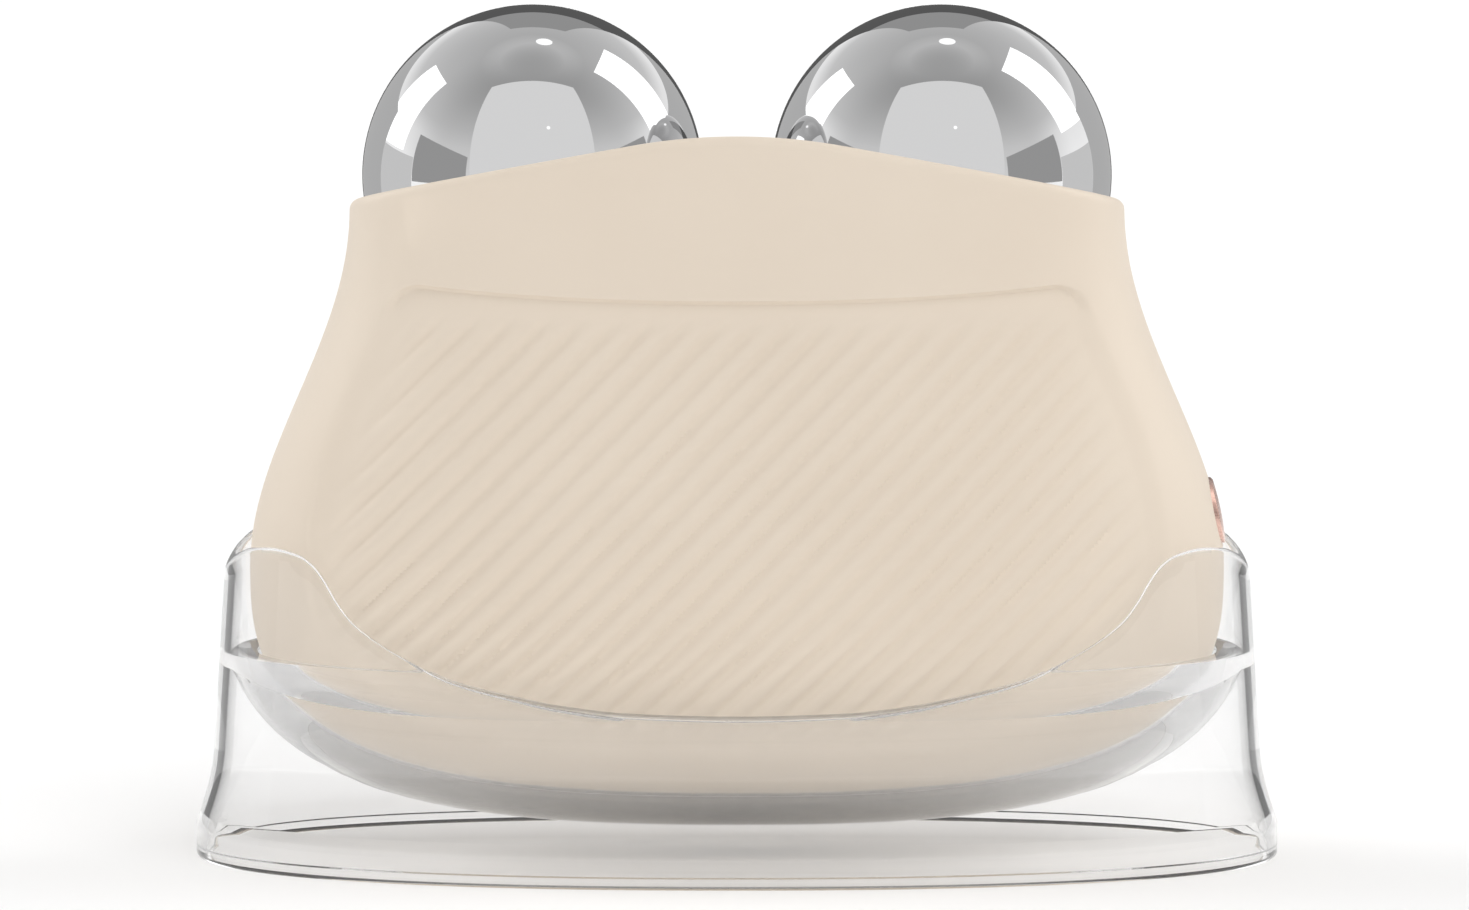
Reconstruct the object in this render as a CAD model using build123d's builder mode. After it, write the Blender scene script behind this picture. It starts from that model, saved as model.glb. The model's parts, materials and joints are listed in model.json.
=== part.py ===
"""Facial toning device with two chrome electrode spheres, resting in its clear display stand.

Frame: +Z up, origin on the floor at the centre of the stand. The ribbed grip faces -Y and the
power button faces +Y. Left is -X and right is +X, as seen from the grip side. Millimetres.
"""
from build123d import *
from math import copysign, cos, pi, radians, sin, sqrt
import os

os.makedirs("parts", exist_ok=True)

# Outer shape of the device
belly_z = 22.7              # height of the widest section
belly_half_width = 37.2
belly_half_depth = 19.0
floor_z = 4.95              # lowest point of the device as it rests in the stand
neck_z = 50.0               # above this height the sides are upright
neck_half_width = 29.55
neck_half_depth = 15.4
belly_roundness = 2.3       # superellipse exponent of the plan section at the belly
neck_roundness = 3.2        # and at the neck, where it is squarer
keel_width_power = 2.9      # superellipse exponent of the lower half seen from the front
keel_depth_power = 2.4      # and seen from the side
wall = 1.8                  # moulded wall of both covers
deck = 2.2                  # wall of the sloping top deck

# Sloping top deck, which falls to both sides and towards the front
peak_z = 57.37              # crossing of the two slopes at the rear edge of the neck
side_slope = 0.178
front_slope = 0.12
peak_radius = 45.0
rim_radius = 0.8

# Electrode spheres
sphere_radius = 13.0
sphere_x = 15.6
sphere_z = 52.25
sphere_gap = 0.2            # between a sphere and the deck around it

# Joint between the two covers
seam_y = 6.0
seam_gap = 0.12
seam_drop = 5.0             # the front cover ends this far below the deck's top surface

# Ribbed grip
grip_depth = 0.4            # how far the grip's floor lies under the shell
rib_pitch = 1.9
rib_depth = 0.28
rib_centre_z = 27.5

# Buttons
power_z = 27.0
power_radius = 4.6
power_travel = 0.8
boost_y = 1.0
boost_z = 26.4
boost_length = 8.4
boost_height = 4.6
boost_travel = 0.5
button_clearance = 0.2

# Inner frame and boards
frame_rear_y = -2.0
frame_front_y = -0.4
frame_inset = wall + 0.5
board_y = 5.5
board_thickness = 1.2
board_half_width = 21.0
board_low_z = 11.0
board_high_z = 38.0
lead_diameter = 0.9

# Charging port
port_y = -1.0
port_mouth_z = 5.7
charge_board_z = 11.1

# Display stand
stand_half_width = 41.4
stand_half_depth = 22.0
stand_roundness = 2.2
stand_wall = 1.3
cup_gap = 0.25              # between the device and the cup it rests in
cup_wall = 2.1
ledge_z = 15.9              # above this the cup opens out to the upright end walls
ledge_underside_z = 14.8
horn_top_z = 23.4
foot_z = 2.6                # height of the upright foot
flare_top_z = 8.0
foot_radius = 0.7
section_points = 32


def belly_blend(z):
    """1 at the belly and 0 at the neck."""
    share = min(max((z - belly_z) / (neck_z - belly_z), 0), 1)
    return (1 + cos(pi * share ** 0.93)) / 2


def keel(z, inset, power):
    """Share of the belly's size at a height under the belly."""
    share = min((belly_z - z) / (belly_z - floor_z - inset), 1)
    return (1 - share ** power) ** (1 / power)


def half_width(z, inset=0.0):
    if z < belly_z:
        return (belly_half_width - inset) * keel(z, inset, keel_width_power)
    return neck_half_width + (belly_half_width - neck_half_width) * belly_blend(z) - inset


def half_depth(z, inset=0.0):
    if z < belly_z:
        return (belly_half_depth - inset) * keel(z, inset, keel_depth_power)
    return neck_half_depth + (belly_half_depth - neck_half_depth) * belly_blend(z) - inset


def roundness(z):
    if z < belly_z:
        return belly_roundness
    return neck_roundness - (neck_roundness - belly_roundness) * belly_blend(z)


def oval(half_x, half_y, power):
    """Points of a superellipse, in order round it."""
    points = []
    for index in range(section_points):
        angle = 2 * pi * index / section_points
        across = copysign(abs(cos(angle)) ** (2 / power), cos(angle))
        along = copysign(abs(sin(angle)) ** (2 / power), sin(angle))
        points.append((half_x * across, half_y * along))
    return points


def device_shape(inset):
    """The device's outer form, moved inwards by inset, and running on past the deck."""
    drop = belly_z - floor_z - inset
    heights = [belly_z - drop * sin(radians(angle)) for angle in (86, 78, 68, 56, 44, 32, 16)]
    heights += [belly_z + (neck_z - belly_z) * step / 7 for step in range(8)]
    heights.append(neck_z + 12)
    with BuildPart() as shape:
        for z in heights:
            with BuildSketch(Plane.XY.offset(z)):
                with BuildLine():
                    Spline(*oval(half_width(z, inset), half_depth(z, inset), roundness(z)),
                           periodic=True)
                make_face()
        loft()
    return shape.part


def above_deck(drop):
    """Everything above the deck's sloping surface, lowered by drop."""
    reach = 45
    tilted = Plane(origin=(0, -neck_half_depth, peak_z - drop), x_dir=(1, 0, 0),
                   z_dir=(0, -1, front_slope))
    with BuildPart() as region:
        with BuildSketch(tilted):
            with BuildLine():
                slopes = FilletPolyline((-reach, -side_slope * reach), (0, 0),
                                        (reach, -side_slope * reach), radius=peak_radius)
                Polyline(slopes @ 1, (reach, reach), (-reach, reach), slopes @ 0)
            make_face()
        extrude(amount=60, both=True)
    return region.part


def slab(low, high):
    """A plain block between two corners."""
    middle = [(a + b) / 2 for a, b in zip(low, high)]
    size = [b - a for a, b in zip(low, high)]
    return Pos(*middle) * Box(*size, mode=Mode.PRIVATE)


def save(piece, name):
    piece.label = name
    export_step(piece, f"parts/{name}.step")


# Shapes that several pieces are cut from
outer_shape = device_shape(0)
cavity_shape = device_shape(wall) - above_deck(deck)
rebate_shape = device_shape(wall / 2 - 0.05)
lip_shape = device_shape(wall / 2 + 0.05)
frame_shape = device_shape(frame_inset)
front_region = slab((-45, seam_y, 0), (45, 30, 70)) - above_deck(seam_drop)
front_region_inner = slab((-45, seam_y + seam_gap, 0), (45, 30, 70)) - above_deck(seam_drop + seam_gap)


# Frames of the two electrodes: along the deck's normal, with the first axis turned to the front
def electrode_plane(side):
    normal = Vector(side * side_slope, front_slope, 1).normalized()
    forward = (Vector(0, 1, 0) - normal * normal.Y).normalized()
    return Plane(origin=(side * sphere_x, 0, sphere_z), x_dir=forward,
                 z_dir=forward.cross(normal))


def electrode_axis(side):
    plane = electrode_plane(side)
    return Axis(plane.origin, plane.y_dir)


def at_radius(radius, height):
    """Distance from the axis of a point on a sphere at a given height."""
    return sqrt(radius ** 2 - height ** 2)


# The moulded form that both covers are cut from
with BuildPart() as device_block:
    add(outer_shape)
    add(above_deck(0), mode=Mode.SUBTRACT)
    rim_edges = device_block.edges().filter_by(lambda edge: edge.center().Z > 48)
    fillet(rim_edges.filter_by(lambda edge: edge.length > 1), radius=rim_radius)

with BuildPart() as sockets:
    for side in (-1, 1):
        with Locations((side * sphere_x, 0, sphere_z)):
            Sphere(sphere_radius + sphere_gap)


# Ribbed grip: an outline, and a floor that follows the shell with slanting ribs on it
def smooth(share):
    share = min(max(share, 0), 1)
    return share * share * (3 - 2 * share)


def rear_face(x, z):
    """How far the shell's rear face stands behind the middle plane."""
    z = min(max(z, floor_z + 1.5), neck_z + 2)
    power = roundness(z)
    share = abs(x) / half_width(z)
    straight_from = 0.95
    if share < straight_from:
        return half_depth(z) * (1 - share ** power) ** (1 / power)
    edge = (1 - straight_from ** power) ** (1 / power)
    slope = straight_from ** (power - 1) * edge ** (1 - power)
    return half_depth(z) * (edge - slope * (share - straight_from))


def rib_strength(x, z):
    """Ribs are full height inside the grip and fade out towards its edge."""
    sides = smooth((0.88 * half_width(z) - 0.5 - abs(x)) / 3.5)
    top = smooth((43.4 - z) / 2.5)
    low = smooth((z - 10.5 - 5 * (abs(x) / 28) ** 3) / 3)
    return sides * top * low


def grip_floor(along, across):
    """A point of the grip's floor, along and across the ribs."""
    x = (along + across) / sqrt(2)
    z = rib_centre_z + (along - across) / sqrt(2)
    valley = ((1 + cos(2 * pi * across / rib_pitch)) / 2) ** 2
    step = grip_depth * (1 - 0.6 * min(abs(x) / 33, 1) ** 4)
    return Vector(x, step + rib_depth * valley * rib_strength(x, z) - rear_face(x, z), z)


rib_count = 33
rib_reach = rib_count * rib_pitch / 2
steps_per_rib = 6
along_steps = 14
floor_points = [[grip_floor(-rib_reach + 2 * rib_reach * i / along_steps,
                            -rib_reach + rib_pitch / steps_per_rib * j)
                 for i in range(along_steps + 1)] for j in range(rib_count * steps_per_rib + 1)]
grip_face = Face.make_surface_from_array_of_points(floor_points, tol=0.02, min_deg=3)

grip_side = [(27.9, 41.2), (31.3, 33.3), (33, 24.6), (31.7, 18), (28.2, 14.3), (23.4, 11.7),
             (13.6, 9.8)]
grip_other_side = [(-x, z) for x, z in reversed(grip_side)]
ribbed_floor = Solid.extrude(grip_face, Vector(0, 18, 0))

with BuildPart() as grip_pocket:
    with BuildSketch(Plane.XZ.offset(4)):
        with BuildLine():
            ThreePointArc((-24, 45.1), (0, 44.15), (24, 45.1))
            Bezier((24, 45.1), (26.1, 45.3), grip_side[0])
            Spline(*grip_side, (0, 9.5), *grip_other_side, tangents=[(0.4, -0.92), (0.4, 0.92)])
            Bezier(grip_other_side[-1], (-26.1, 45.3), (-24, 45.1))
        make_face()
    extrude(amount=20)
    add(ribbed_floor, mode=Mode.SUBTRACT)


# Buttons are cut from the device's own form, so that their faces follow it
def power_plane(y):
    return Plane(origin=(0, y, power_z), x_dir=(-1, 0, 0), z_dir=(0, 1, 0))


def boost_plane(x):
    return Plane(origin=(x, boost_y, boost_z), x_dir=(0, 1, 0), z_dir=(1, 0, 0))


def disc(plane, radius, length):
    with BuildPart() as piece:
        with BuildSketch(plane):
            Circle(radius)
        extrude(amount=length)
    return piece.part


def pill(plane, margin, length):
    with BuildPart() as piece:
        with BuildSketch(plane):
            SlotOverall(boost_length + 2 * margin, boost_height + 2 * margin)
        extrude(amount=length)
    return piece.part


boss_spots = [(side * x, z) for side in (-1, 1) for x, z in ((25.5, 15.5), (27.0, 33.0))]
boss_radius = 2.4
pilot_radius = 0.95
lip_reach = 1.3             # how far the front cover's lip reaches into the rear cover
snap_low_z, snap_high_z = 15.0, 21.0
power_seat_y = 16.75        # the power button's flange stops here
boost_seat_x = 35.15        # the boost button's flange stops here
bezel_radius = 6.3
bezel_inner_radius = power_radius + button_clearance
bezel_depth = 0.6
indicator_z = 36.4
indicator_spacing = 3.4
indicator_radius = 0.6
port_opening = (8.3, 3.5)

with BuildPart() as bosses:
    with BuildSketch(Plane.XZ.offset(-frame_rear_y)):
        with Locations(*boss_spots):
            Circle(boss_radius)
    extrude(amount=20)
    add(rebate_shape, mode=Mode.INTERSECT)

with BuildPart() as pillars:
    with BuildSketch(Plane.XY.offset(floor_z + 1)):
        with Locations((-6.4, port_y), (6.4, port_y)):
            Circle(1.6)
    extrude(amount=charge_board_z - floor_z - 1)

rebate_band = rebate_shape & slab((-45, seam_y - lip_reach - 0.1, 0), (45, seam_y, 47))
boost_hole = pill(boost_plane(34), button_clearance, 6) + pill(boost_plane(32), 0.8, boost_seat_x - 32)
snap_reach_x = 28.0         # the snap beads and their grooves lie further out than this


def snap_band(inset, margin):
    """Two short upright bands under the lip, one at each side."""
    low_z, high_z = snap_low_z - margin, snap_high_z + margin
    near_y, far_y = seam_y - 1.1 - margin, seam_y - 0.4 + margin
    right = slab((snap_reach_x, near_y, low_z), (45, far_y, high_z))
    left = slab((-45, near_y, low_z), (-snap_reach_x, far_y, high_z))
    return (right + left) & device_shape(inset)


snap_grooves = snap_band(wall / 2 - 0.25, 0.1)
snap_beads = snap_band(wall / 2 - 0.15, 0.0) - cavity_shape
lip_slab = slab((-45, seam_y - lip_reach, 0), (45, seam_y + 0.5, 43))
boost_room = pill(boost_plane(32), 1.0, 4)
power_hole = disc(power_plane(14), bezel_inner_radius, 8)
power_seat = disc(power_plane(14), power_radius + 1.1, power_seat_y - 14)
bezel_pocket = disc(power_plane(16), bezel_radius, 6) - device_shape(bezel_depth)

# Rear cover: one moulding with the deck, the ribbed grip and the screw bosses
with BuildPart() as rear_cover:
    add(device_block.part)
    add(cavity_shape, mode=Mode.SUBTRACT)
    add(bosses.part)
    with BuildSketch(Plane.XZ.offset(-frame_rear_y)):
        with Locations(*boss_spots):
            Circle(pilot_radius)
    extrude(amount=6, mode=Mode.SUBTRACT)
    add(pillars.part)
    add(front_region, mode=Mode.SUBTRACT)
    add(rebate_band, mode=Mode.SUBTRACT)
    add(snap_grooves, mode=Mode.SUBTRACT)
    add(sockets.part, mode=Mode.SUBTRACT)
    add(grip_pocket.part, mode=Mode.SUBTRACT)
    add(boost_hole, mode=Mode.SUBTRACT)
    with BuildSketch(Plane.XY.offset(floor_z - 1)):
        with Locations((0, port_y)):
            RectangleRounded(*port_opening, radius=1.2)
    extrude(amount=4, mode=Mode.SUBTRACT)
save(rear_cover.part, "rear_cover")

with BuildPart() as lip:
    add(lip_shape)
    add(cavity_shape, mode=Mode.SUBTRACT)
    add(lip_slab, mode=Mode.INTERSECT)

# Front cover: snaps over the front of the rear cover, under the deck
with BuildPart() as front_cover:
    add(device_block.part)
    add(cavity_shape, mode=Mode.SUBTRACT)
    add(front_region_inner, mode=Mode.INTERSECT)
    add(lip.part)
    add(snap_beads)
    add(sockets.part, mode=Mode.SUBTRACT)
    add(boost_room, mode=Mode.SUBTRACT)
    add(power_hole, mode=Mode.SUBTRACT)
    add(power_seat, mode=Mode.SUBTRACT)
    add(bezel_pocket, mode=Mode.SUBTRACT)
    with BuildSketch(Plane.XZ.offset(-12)):
        with Locations(*[(step * indicator_spacing, indicator_z) for step in (-1, 0, 1)]):
            Circle(indicator_radius)
    extrude(amount=-10, mode=Mode.SUBTRACT)
save(front_cover.part, "front_cover")


# Electrodes: a hollow chrome sphere on a seal, held down by a screw through the frame's cup
boss_flat = 3.2             # radius of the flat under each sphere
flat_depth = at_radius(sphere_radius, boss_flat)
thread_radius = 1.25
cup_inner = sphere_radius + 0.15
cup_outer = sphere_radius + 1.4
cup_rim = 8.6               # the cup ends this far below the sphere's centre
seal_height = 1.0
tab_thickness = 0.4
tab_reach = 5.6
screw_head_radius = 2.6
screw_head_height = 1.6


def turned(outline, side):
    """A solid turned about an electrode's axis from half of its section."""
    with BuildPart() as piece:
        with BuildSketch(electrode_plane(side)):
            add(outline)
        revolve(axis=electrode_axis(side))
    return piece.part


with BuildSketch() as sphere_section:
    inner = sphere_radius - 1.2
    with BuildLine():
        ThreePointArc((0, sphere_radius), (sphere_radius, 0), (boss_flat, -flat_depth))
        Polyline((boss_flat, -flat_depth), (thread_radius, -flat_depth), (thread_radius, -4.6),
                 (boss_flat, -4.6), (boss_flat, -at_radius(inner, boss_flat)))
        ThreePointArc((boss_flat, -at_radius(inner, boss_flat)), (inner, 0), (0, inner))
        Line((0, inner), (0, sphere_radius))
    make_face()

with BuildSketch() as cup_section:
    rim_inner, rim_outer = at_radius(cup_inner, cup_rim), at_radius(cup_outer, cup_rim)
    seat = boss_flat - 0.1
    with BuildLine():
        Polyline((thread_radius + 0.4, -cup_outer), (thread_radius + 0.4, -flat_depth),
                 (seat, -flat_depth), (seat, -at_radius(cup_inner, seat)))
        ThreePointArc((seat, -at_radius(cup_inner, seat)), (7, -at_radius(cup_inner, 7)),
                      (rim_inner, -cup_rim))
        Line((rim_inner, -cup_rim), (rim_outer, -cup_rim))
        ThreePointArc((rim_outer, -cup_rim), (7, -at_radius(cup_outer, 7)),
                      (4, -at_radius(cup_outer, 4)))
        Polyline((4, -at_radius(cup_outer, 4)), (4, -cup_outer), (thread_radius + 0.4, -cup_outer))
    make_face()

with BuildSketch() as seal_section:
    low, high = -cup_rim, -cup_rim + seal_height
    with BuildLine():
        ThreePointArc((at_radius(sphere_radius, low), low),
                      (at_radius(sphere_radius, (low + high) / 2), (low + high) / 2),
                      (at_radius(sphere_radius, high), high))
        Polyline((at_radius(sphere_radius, high), high), (rim_outer, high), (rim_outer, low),
                 (at_radius(sphere_radius, low), low))
    make_face()

with BuildSketch() as screw_section:
    under_head = -cup_outer - tab_thickness
    with BuildLine():
        Polyline((0, under_head - screw_head_height), (screw_head_radius, under_head - screw_head_height),
                 (screw_head_radius, under_head), (thread_radius, under_head), (thread_radius, -6.5),
                 (0, -6.5), close=True)
    make_face()


def under_cup(side):
    """A plane square to an electrode's axis, looking down from the underside of its cup."""
    plane = electrode_plane(side)
    top = plane.from_local_coords(Vector(0, -cup_outer, 0))
    return Plane(origin=top, x_dir=plane.x_dir, z_dir=-plane.y_dir)


def contact_tab(side):
    """A brass ring under the screw's head, with a tail that the lead is soldered to."""
    with BuildPart() as tab:
        with BuildSketch(under_cup(side)):
            Circle(3.4)
            with Locations((tab_reach / 2, 0)):
                Rectangle(tab_reach, 2.4)
            Circle(thread_radius, mode=Mode.SUBTRACT)
        extrude(amount=tab_thickness)
    return tab.part


cups = {}
for side, name in ((-1, "left"), (1, "right")):
    save(turned(sphere_section.sketch, side), f"electrode_sphere_{name}")
    save(turned(seal_section.sketch, side), f"electrode_seal_{name}")
    save(turned(screw_section.sketch, side), f"electrode_screw_{name}")
    save(contact_tab(side), f"contact_tab_{name}")
    cups[name] = turned(cup_section.sketch, side)


# Inner frame: a plate across the device with the two cups, the board posts and the battery tray
post_spots = [(side * 18.5, z) for side in (-1, 1) for z in (14.0, 33.0)]
post_radius = 2.2
battery_half_width, battery_low_z, battery_high_z = 18.0, 13.5, 34.0
battery_rear_y, battery_front_y = -9.0, -3.0
tray_wall = 1.2
bracket_x = 29.4
switch_x = 30.6             # the boost switch stands on the bracket's outer face


screw_rooms = [disc(under_cup(side), 4.6, 6) for side in (-1, 1)]
screw_holes = [disc(under_cup(side), thread_radius + 0.4, -3) for side in (-1, 1)]


frame_plate = frame_shape & slab((-45, frame_rear_y, 8), (45, frame_front_y, 41.5))
frame_plate -= slab((-9, -3, 34.6), (9, 0, 43))
frame_plate -= slab((-8.4, -3, 7), (8.4, 0, charge_board_z + 1))
frame_plate -= slab((switch_x, -3, 22), (45, 0, 31))
bracket = slab((bracket_x, -3, 23), (switch_x, 5, 30))
tray_rear_y = battery_rear_y + 1
tray = slab((-battery_half_width - tray_wall, tray_rear_y, battery_low_z - 1),
            (battery_half_width + tray_wall, frame_rear_y, battery_high_z - 2))
tray -= slab((-battery_half_width, -20, battery_low_z), (battery_half_width, 0, 50))
sphere_room = [Pos(side * sphere_x, 0, sphere_z) * Sphere(cup_inner) for side in (-1, 1)]

with BuildPart() as inner_frame:
    add(frame_plate)
    add(tray)
    add(bracket)
    with BuildSketch(Plane.XZ.offset(-frame_front_y)):
        with Locations(*post_spots):
            Circle(post_radius)
    extrude(amount=frame_front_y - board_y)
    add(screw_rooms, mode=Mode.SUBTRACT)
    add(sphere_room, mode=Mode.SUBTRACT)
    add([cups["left"], cups["right"]])
    add(screw_holes, mode=Mode.SUBTRACT)
    with BuildSketch(Plane.XZ.offset(-board_y)):
        with Locations(*post_spots):
            Circle(pilot_radius)
    extrude(amount=4.5, mode=Mode.SUBTRACT)
    with BuildSketch(Plane.XZ.offset(-frame_front_y)):
        with Locations(*boss_spots):
            Circle(pilot_radius + 0.15)
    extrude(amount=frame_front_y - frame_rear_y, mode=Mode.SUBTRACT)
save(inner_frame.part, "inner_frame")


def pan_screws(spots, head_y, length, head_radius, head_height):
    """A group of like screws, driven towards the grip."""
    with BuildPart() as screws:
        with BuildSketch(Plane.XZ.offset(-head_y)):
            with Locations(*spots):
                Circle(head_radius)
        extrude(amount=-head_height)
        with BuildSketch(Plane.XZ.offset(-head_y)):
            with Locations(*spots):
                Circle(pilot_radius)
        extrude(amount=length)
    return screws.part


save(pan_screws(boss_spots, frame_front_y, 7.0, 2.0, 1.3), "frame_screws")
save(pan_screws(post_spots, board_y + board_thickness, 5.0, 1.9, 1.2), "board_screws")

# Boards and what is soldered to them
with BuildPart() as main_board:
    with BuildSketch(Plane.XZ.offset(-board_y)):
        with Locations((0, (board_low_z + board_high_z) / 2)):
            RectangleRounded(2 * board_half_width, board_high_z - board_low_z, radius=1.5)
        with Locations(*post_spots):
            Circle(pilot_radius + 0.15, mode=Mode.SUBTRACT)
    extrude(amount=-board_thickness)
save(main_board.part, "main_board")

board_front_y = board_y + board_thickness
save(slab((-13.5, board_front_y, 16), (-4.5, board_front_y + 1.2, 25)), "controller_chip")

with BuildPart() as output_transformer:
    add(slab((5, board_y - 4.6, 17), (14, board_y, 26)))
    chamfer(output_transformer.faces().sort_by(Axis.Y)[0].edges(), 0.8)
save(output_transformer.part, "output_transformer")

with BuildPart() as buzzer:
    with BuildSketch(Plane.XZ.offset(-board_front_y)):
        with Locations((13, 19)):
            Circle(4.5)
    extrude(amount=-3.2)
    with BuildSketch(Plane.XZ.offset(-board_front_y - 3.2)):
        with Locations((13, 19)):
            Circle(1.0)
    extrude(amount=1.2, mode=Mode.SUBTRACT)
save(buzzer.part, "buzzer")

indicator_spots = [(step * indicator_spacing, indicator_z) for step in (-1, 0, 1)]
indicator_top_y = board_front_y + 1.0
with BuildPart() as indicator_leds:
    with BuildSketch(Plane.XZ.offset(-board_front_y)):
        with Locations(*indicator_spots):
            Rectangle(1.6, 1.2)
    extrude(amount=-1.0)
save(indicator_leds.part, "indicator_leds")

with BuildPart() as indicator_lens:
    with BuildSketch(Plane.XZ.offset(-indicator_top_y)):
        with Locations(*indicator_spots):
            Circle(indicator_radius)
    extrude(amount=-14)
    add(outer_shape, mode=Mode.INTERSECT)
save(indicator_lens.part, "indicator_lens")

# Battery in its tray, on a foam pad
with BuildPart() as battery:
    add(slab((-battery_half_width, battery_rear_y, battery_low_z),
             (battery_half_width, battery_front_y, battery_high_z)))
    fillet(battery.edges().filter_by(Axis.Z), radius=2.0)
    add(slab((-6, -7.5, battery_high_z), (6, -4.5, battery_high_z + 1)))
save(battery.part, "battery")
save(slab((-15, battery_front_y, 15), (15, frame_rear_y, 32)), "battery_pad")

# Charging port at the bottom of the device, on a board of its own
with BuildPart() as charge_board:
    add(slab((-8.2, -4.8, charge_board_z), (8.2, 2.8, charge_board_z + 1)))
    fillet(charge_board.edges().filter_by(Axis.Z), radius=1.0)
save(charge_board.part, "charge_board")

with BuildPart() as charge_port:
    with BuildSketch(Plane.XY.offset(port_mouth_z)):
        with Locations((0, port_y)):
            RectangleRounded(7.5, 2.7, radius=0.9)
    extrude(amount=charge_board_z - port_mouth_z)
    with BuildSketch(Plane.XY.offset(port_mouth_z)):
        with Locations((0, port_y)):
            RectangleRounded(6.9, 2.1, radius=0.6)
            Rectangle(4.4, 0.7, mode=Mode.SUBTRACT)
    extrude(amount=4.4, mode=Mode.SUBTRACT)
save(charge_port.part, "charge_port")

# Power button, its trim ring and the switch behind it
switch_depth = 3.5
plunger_radius = 1.5
plunger_end_y = board_front_y + switch_depth + 1.0
cap_proud = 0.25
flange = 0.8
cap_form = device_shape(-cap_proud)
bezel_ring = disc(power_plane(16), bezel_radius, 6) - disc(power_plane(16), bezel_inner_radius, 6)
bezel_top = device_shape(-0.12)
bezel_floor = device_shape(bezel_depth)

power_cap = disc(power_plane(power_seat_y - flange), power_radius, 6) & cap_form
power_flange = disc(power_plane(power_seat_y - flange), power_radius + 0.7, flange)
power_stem = disc(power_plane(plunger_end_y), 1.6, power_seat_y - flange - plunger_end_y)
plunger_well = disc(power_plane(board_front_y + 1.4), plunger_radius + 0.1, 5)
with BuildPart() as power_button:
    add([power_cap, power_flange, power_stem])
save(power_button.part, "power_button")

with BuildPart() as power_button_bezel:
    add(bezel_ring)
    add(bezel_top, mode=Mode.INTERSECT)
    add(bezel_floor, mode=Mode.SUBTRACT)
save(power_button_bezel.part, "power_button_bezel")

with BuildPart() as power_switch:
    add(slab((-3, board_front_y, power_z - 3), (3, board_front_y + switch_depth, power_z + 3)))
    add(plunger_well, mode=Mode.SUBTRACT)
save(power_switch.part, "power_switch")
plunger_start_y = board_front_y + 2.5
save(disc(power_plane(plunger_start_y), plunger_radius, plunger_end_y - plunger_start_y),
     "power_switch_plunger")

# Boost button in the right flank, and its switch on the frame's bracket
boost_switch_depth = 2.6
boost_plunger_x = switch_x + boost_switch_depth + 0.9
boost_flange_x = boost_seat_x - 0.75
boost_cap = pill(boost_plane(boost_flange_x), 0, 4) & cap_form
boost_flange = pill(boost_plane(boost_flange_x), 0.6, 0.7)
boost_stem = disc(boost_plane(boost_plunger_x), 1.2, boost_flange_x - boost_plunger_x)
boost_plunger_well = disc(boost_plane(switch_x + 1), 1.1, 3)
with BuildPart() as boost_button:
    add([boost_cap, boost_flange, boost_stem])
save(boost_button.part, "boost_button")

with BuildPart() as boost_switch:
    add(slab((switch_x, boost_y - 2.6, boost_z - 2), (switch_x + boost_switch_depth, boost_y + 2.6, boost_z + 2)))
    add(boost_plunger_well, mode=Mode.SUBTRACT)
save(boost_switch.part, "boost_switch")
boost_plunger_start_x = switch_x + 1.7
save(disc(boost_plane(boost_plunger_start_x), 1.0, boost_plunger_x - boost_plunger_start_x),
     "boost_switch_plunger")


# Leads between the pieces
def lead(*route):
    with BuildPart() as wire:
        with BuildLine():
            path = FilletPolyline(*route, radius=1.1)
        with BuildSketch(Plane(origin=path @ 0, z_dir=path % 0)):
            Circle(lead_diameter / 2)
        sweep()
    return wire.part


tab_plane = electrode_plane(1)
solder_point = tab_plane.from_local_coords(Vector(tab_reach - 0.8, -cup_outer - tab_thickness - 0.3, 0))
for side, name in ((-1, "left"), (1, "right")):
    x, y, z = side * solder_point.X, solder_point.Y, solder_point.Z
    save(lead((x, y, z), (x, y, z - 4), (x, board_y, z - 4)), f"electrode_lead_{name}")

battery_lead_z = battery_high_z + 1
save(Compound([lead((x, -6, battery_lead_z), (x, -6, 37.2), (x, 2.6, 37.2), (x, 2.6, 33.5), (x, board_y, 33.5))
               for x in (-2.5, 2.5)]), "battery_leads")
save(Compound([lead((x, 2.2, charge_board_z + 1), (x, 2.2, 15), (x, board_y, 15)) for x in (-3, 3)]), "charge_leads")
boost_lead_y = boost_y + 2.6
save(Compound([lead((switch_x + 1.3, boost_lead_y, z), (switch_x + 1.3, board_y + 0.6, z), (board_half_width, board_y + 0.6, z))
               for z in (boost_z - 1.1, boost_z + 1.1)]), "boost_leads")


# Display stand: one clear moulding, a flared skirt round a cup that fits the device
def skirt_half_width(z):
    """Nearly upright walls that flare out above the foot."""
    upright = stand_half_width - 1.35 - 0.85 * (z - flare_top_z) / (22 - flare_top_z)
    if z >= flare_top_z:
        return upright
    return stand_half_width - 1.35 + 1.35 * ((flare_top_z - z) / (flare_top_z - foot_z)) ** 1.5


def plan(half):
    """Points of the stand's plan section with a given half width."""
    return oval(half, half - stand_half_width + stand_half_depth, stand_roundness)


def skirt(inset, low_z, high_z):
    """The skirt's outer form moved inwards: an upright foot, and the walls above it."""
    with BuildPart() as shape:
        with BuildSketch(Plane.XY.offset(low_z)):
            with BuildLine():
                Spline(*plan(stand_half_width - inset), periodic=True)
            make_face()
        extrude(amount=foot_z - low_z)
        for z in (foot_z, 3.5, 4.8, 6.3, flare_top_z, 12, 17, 22, high_z):
            with BuildSketch(Plane.XY.offset(z)):
                with BuildLine():
                    Spline(*plan(skirt_half_width(z) - inset), periodic=True)
                make_face()
        loft()
    return shape.part


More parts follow.
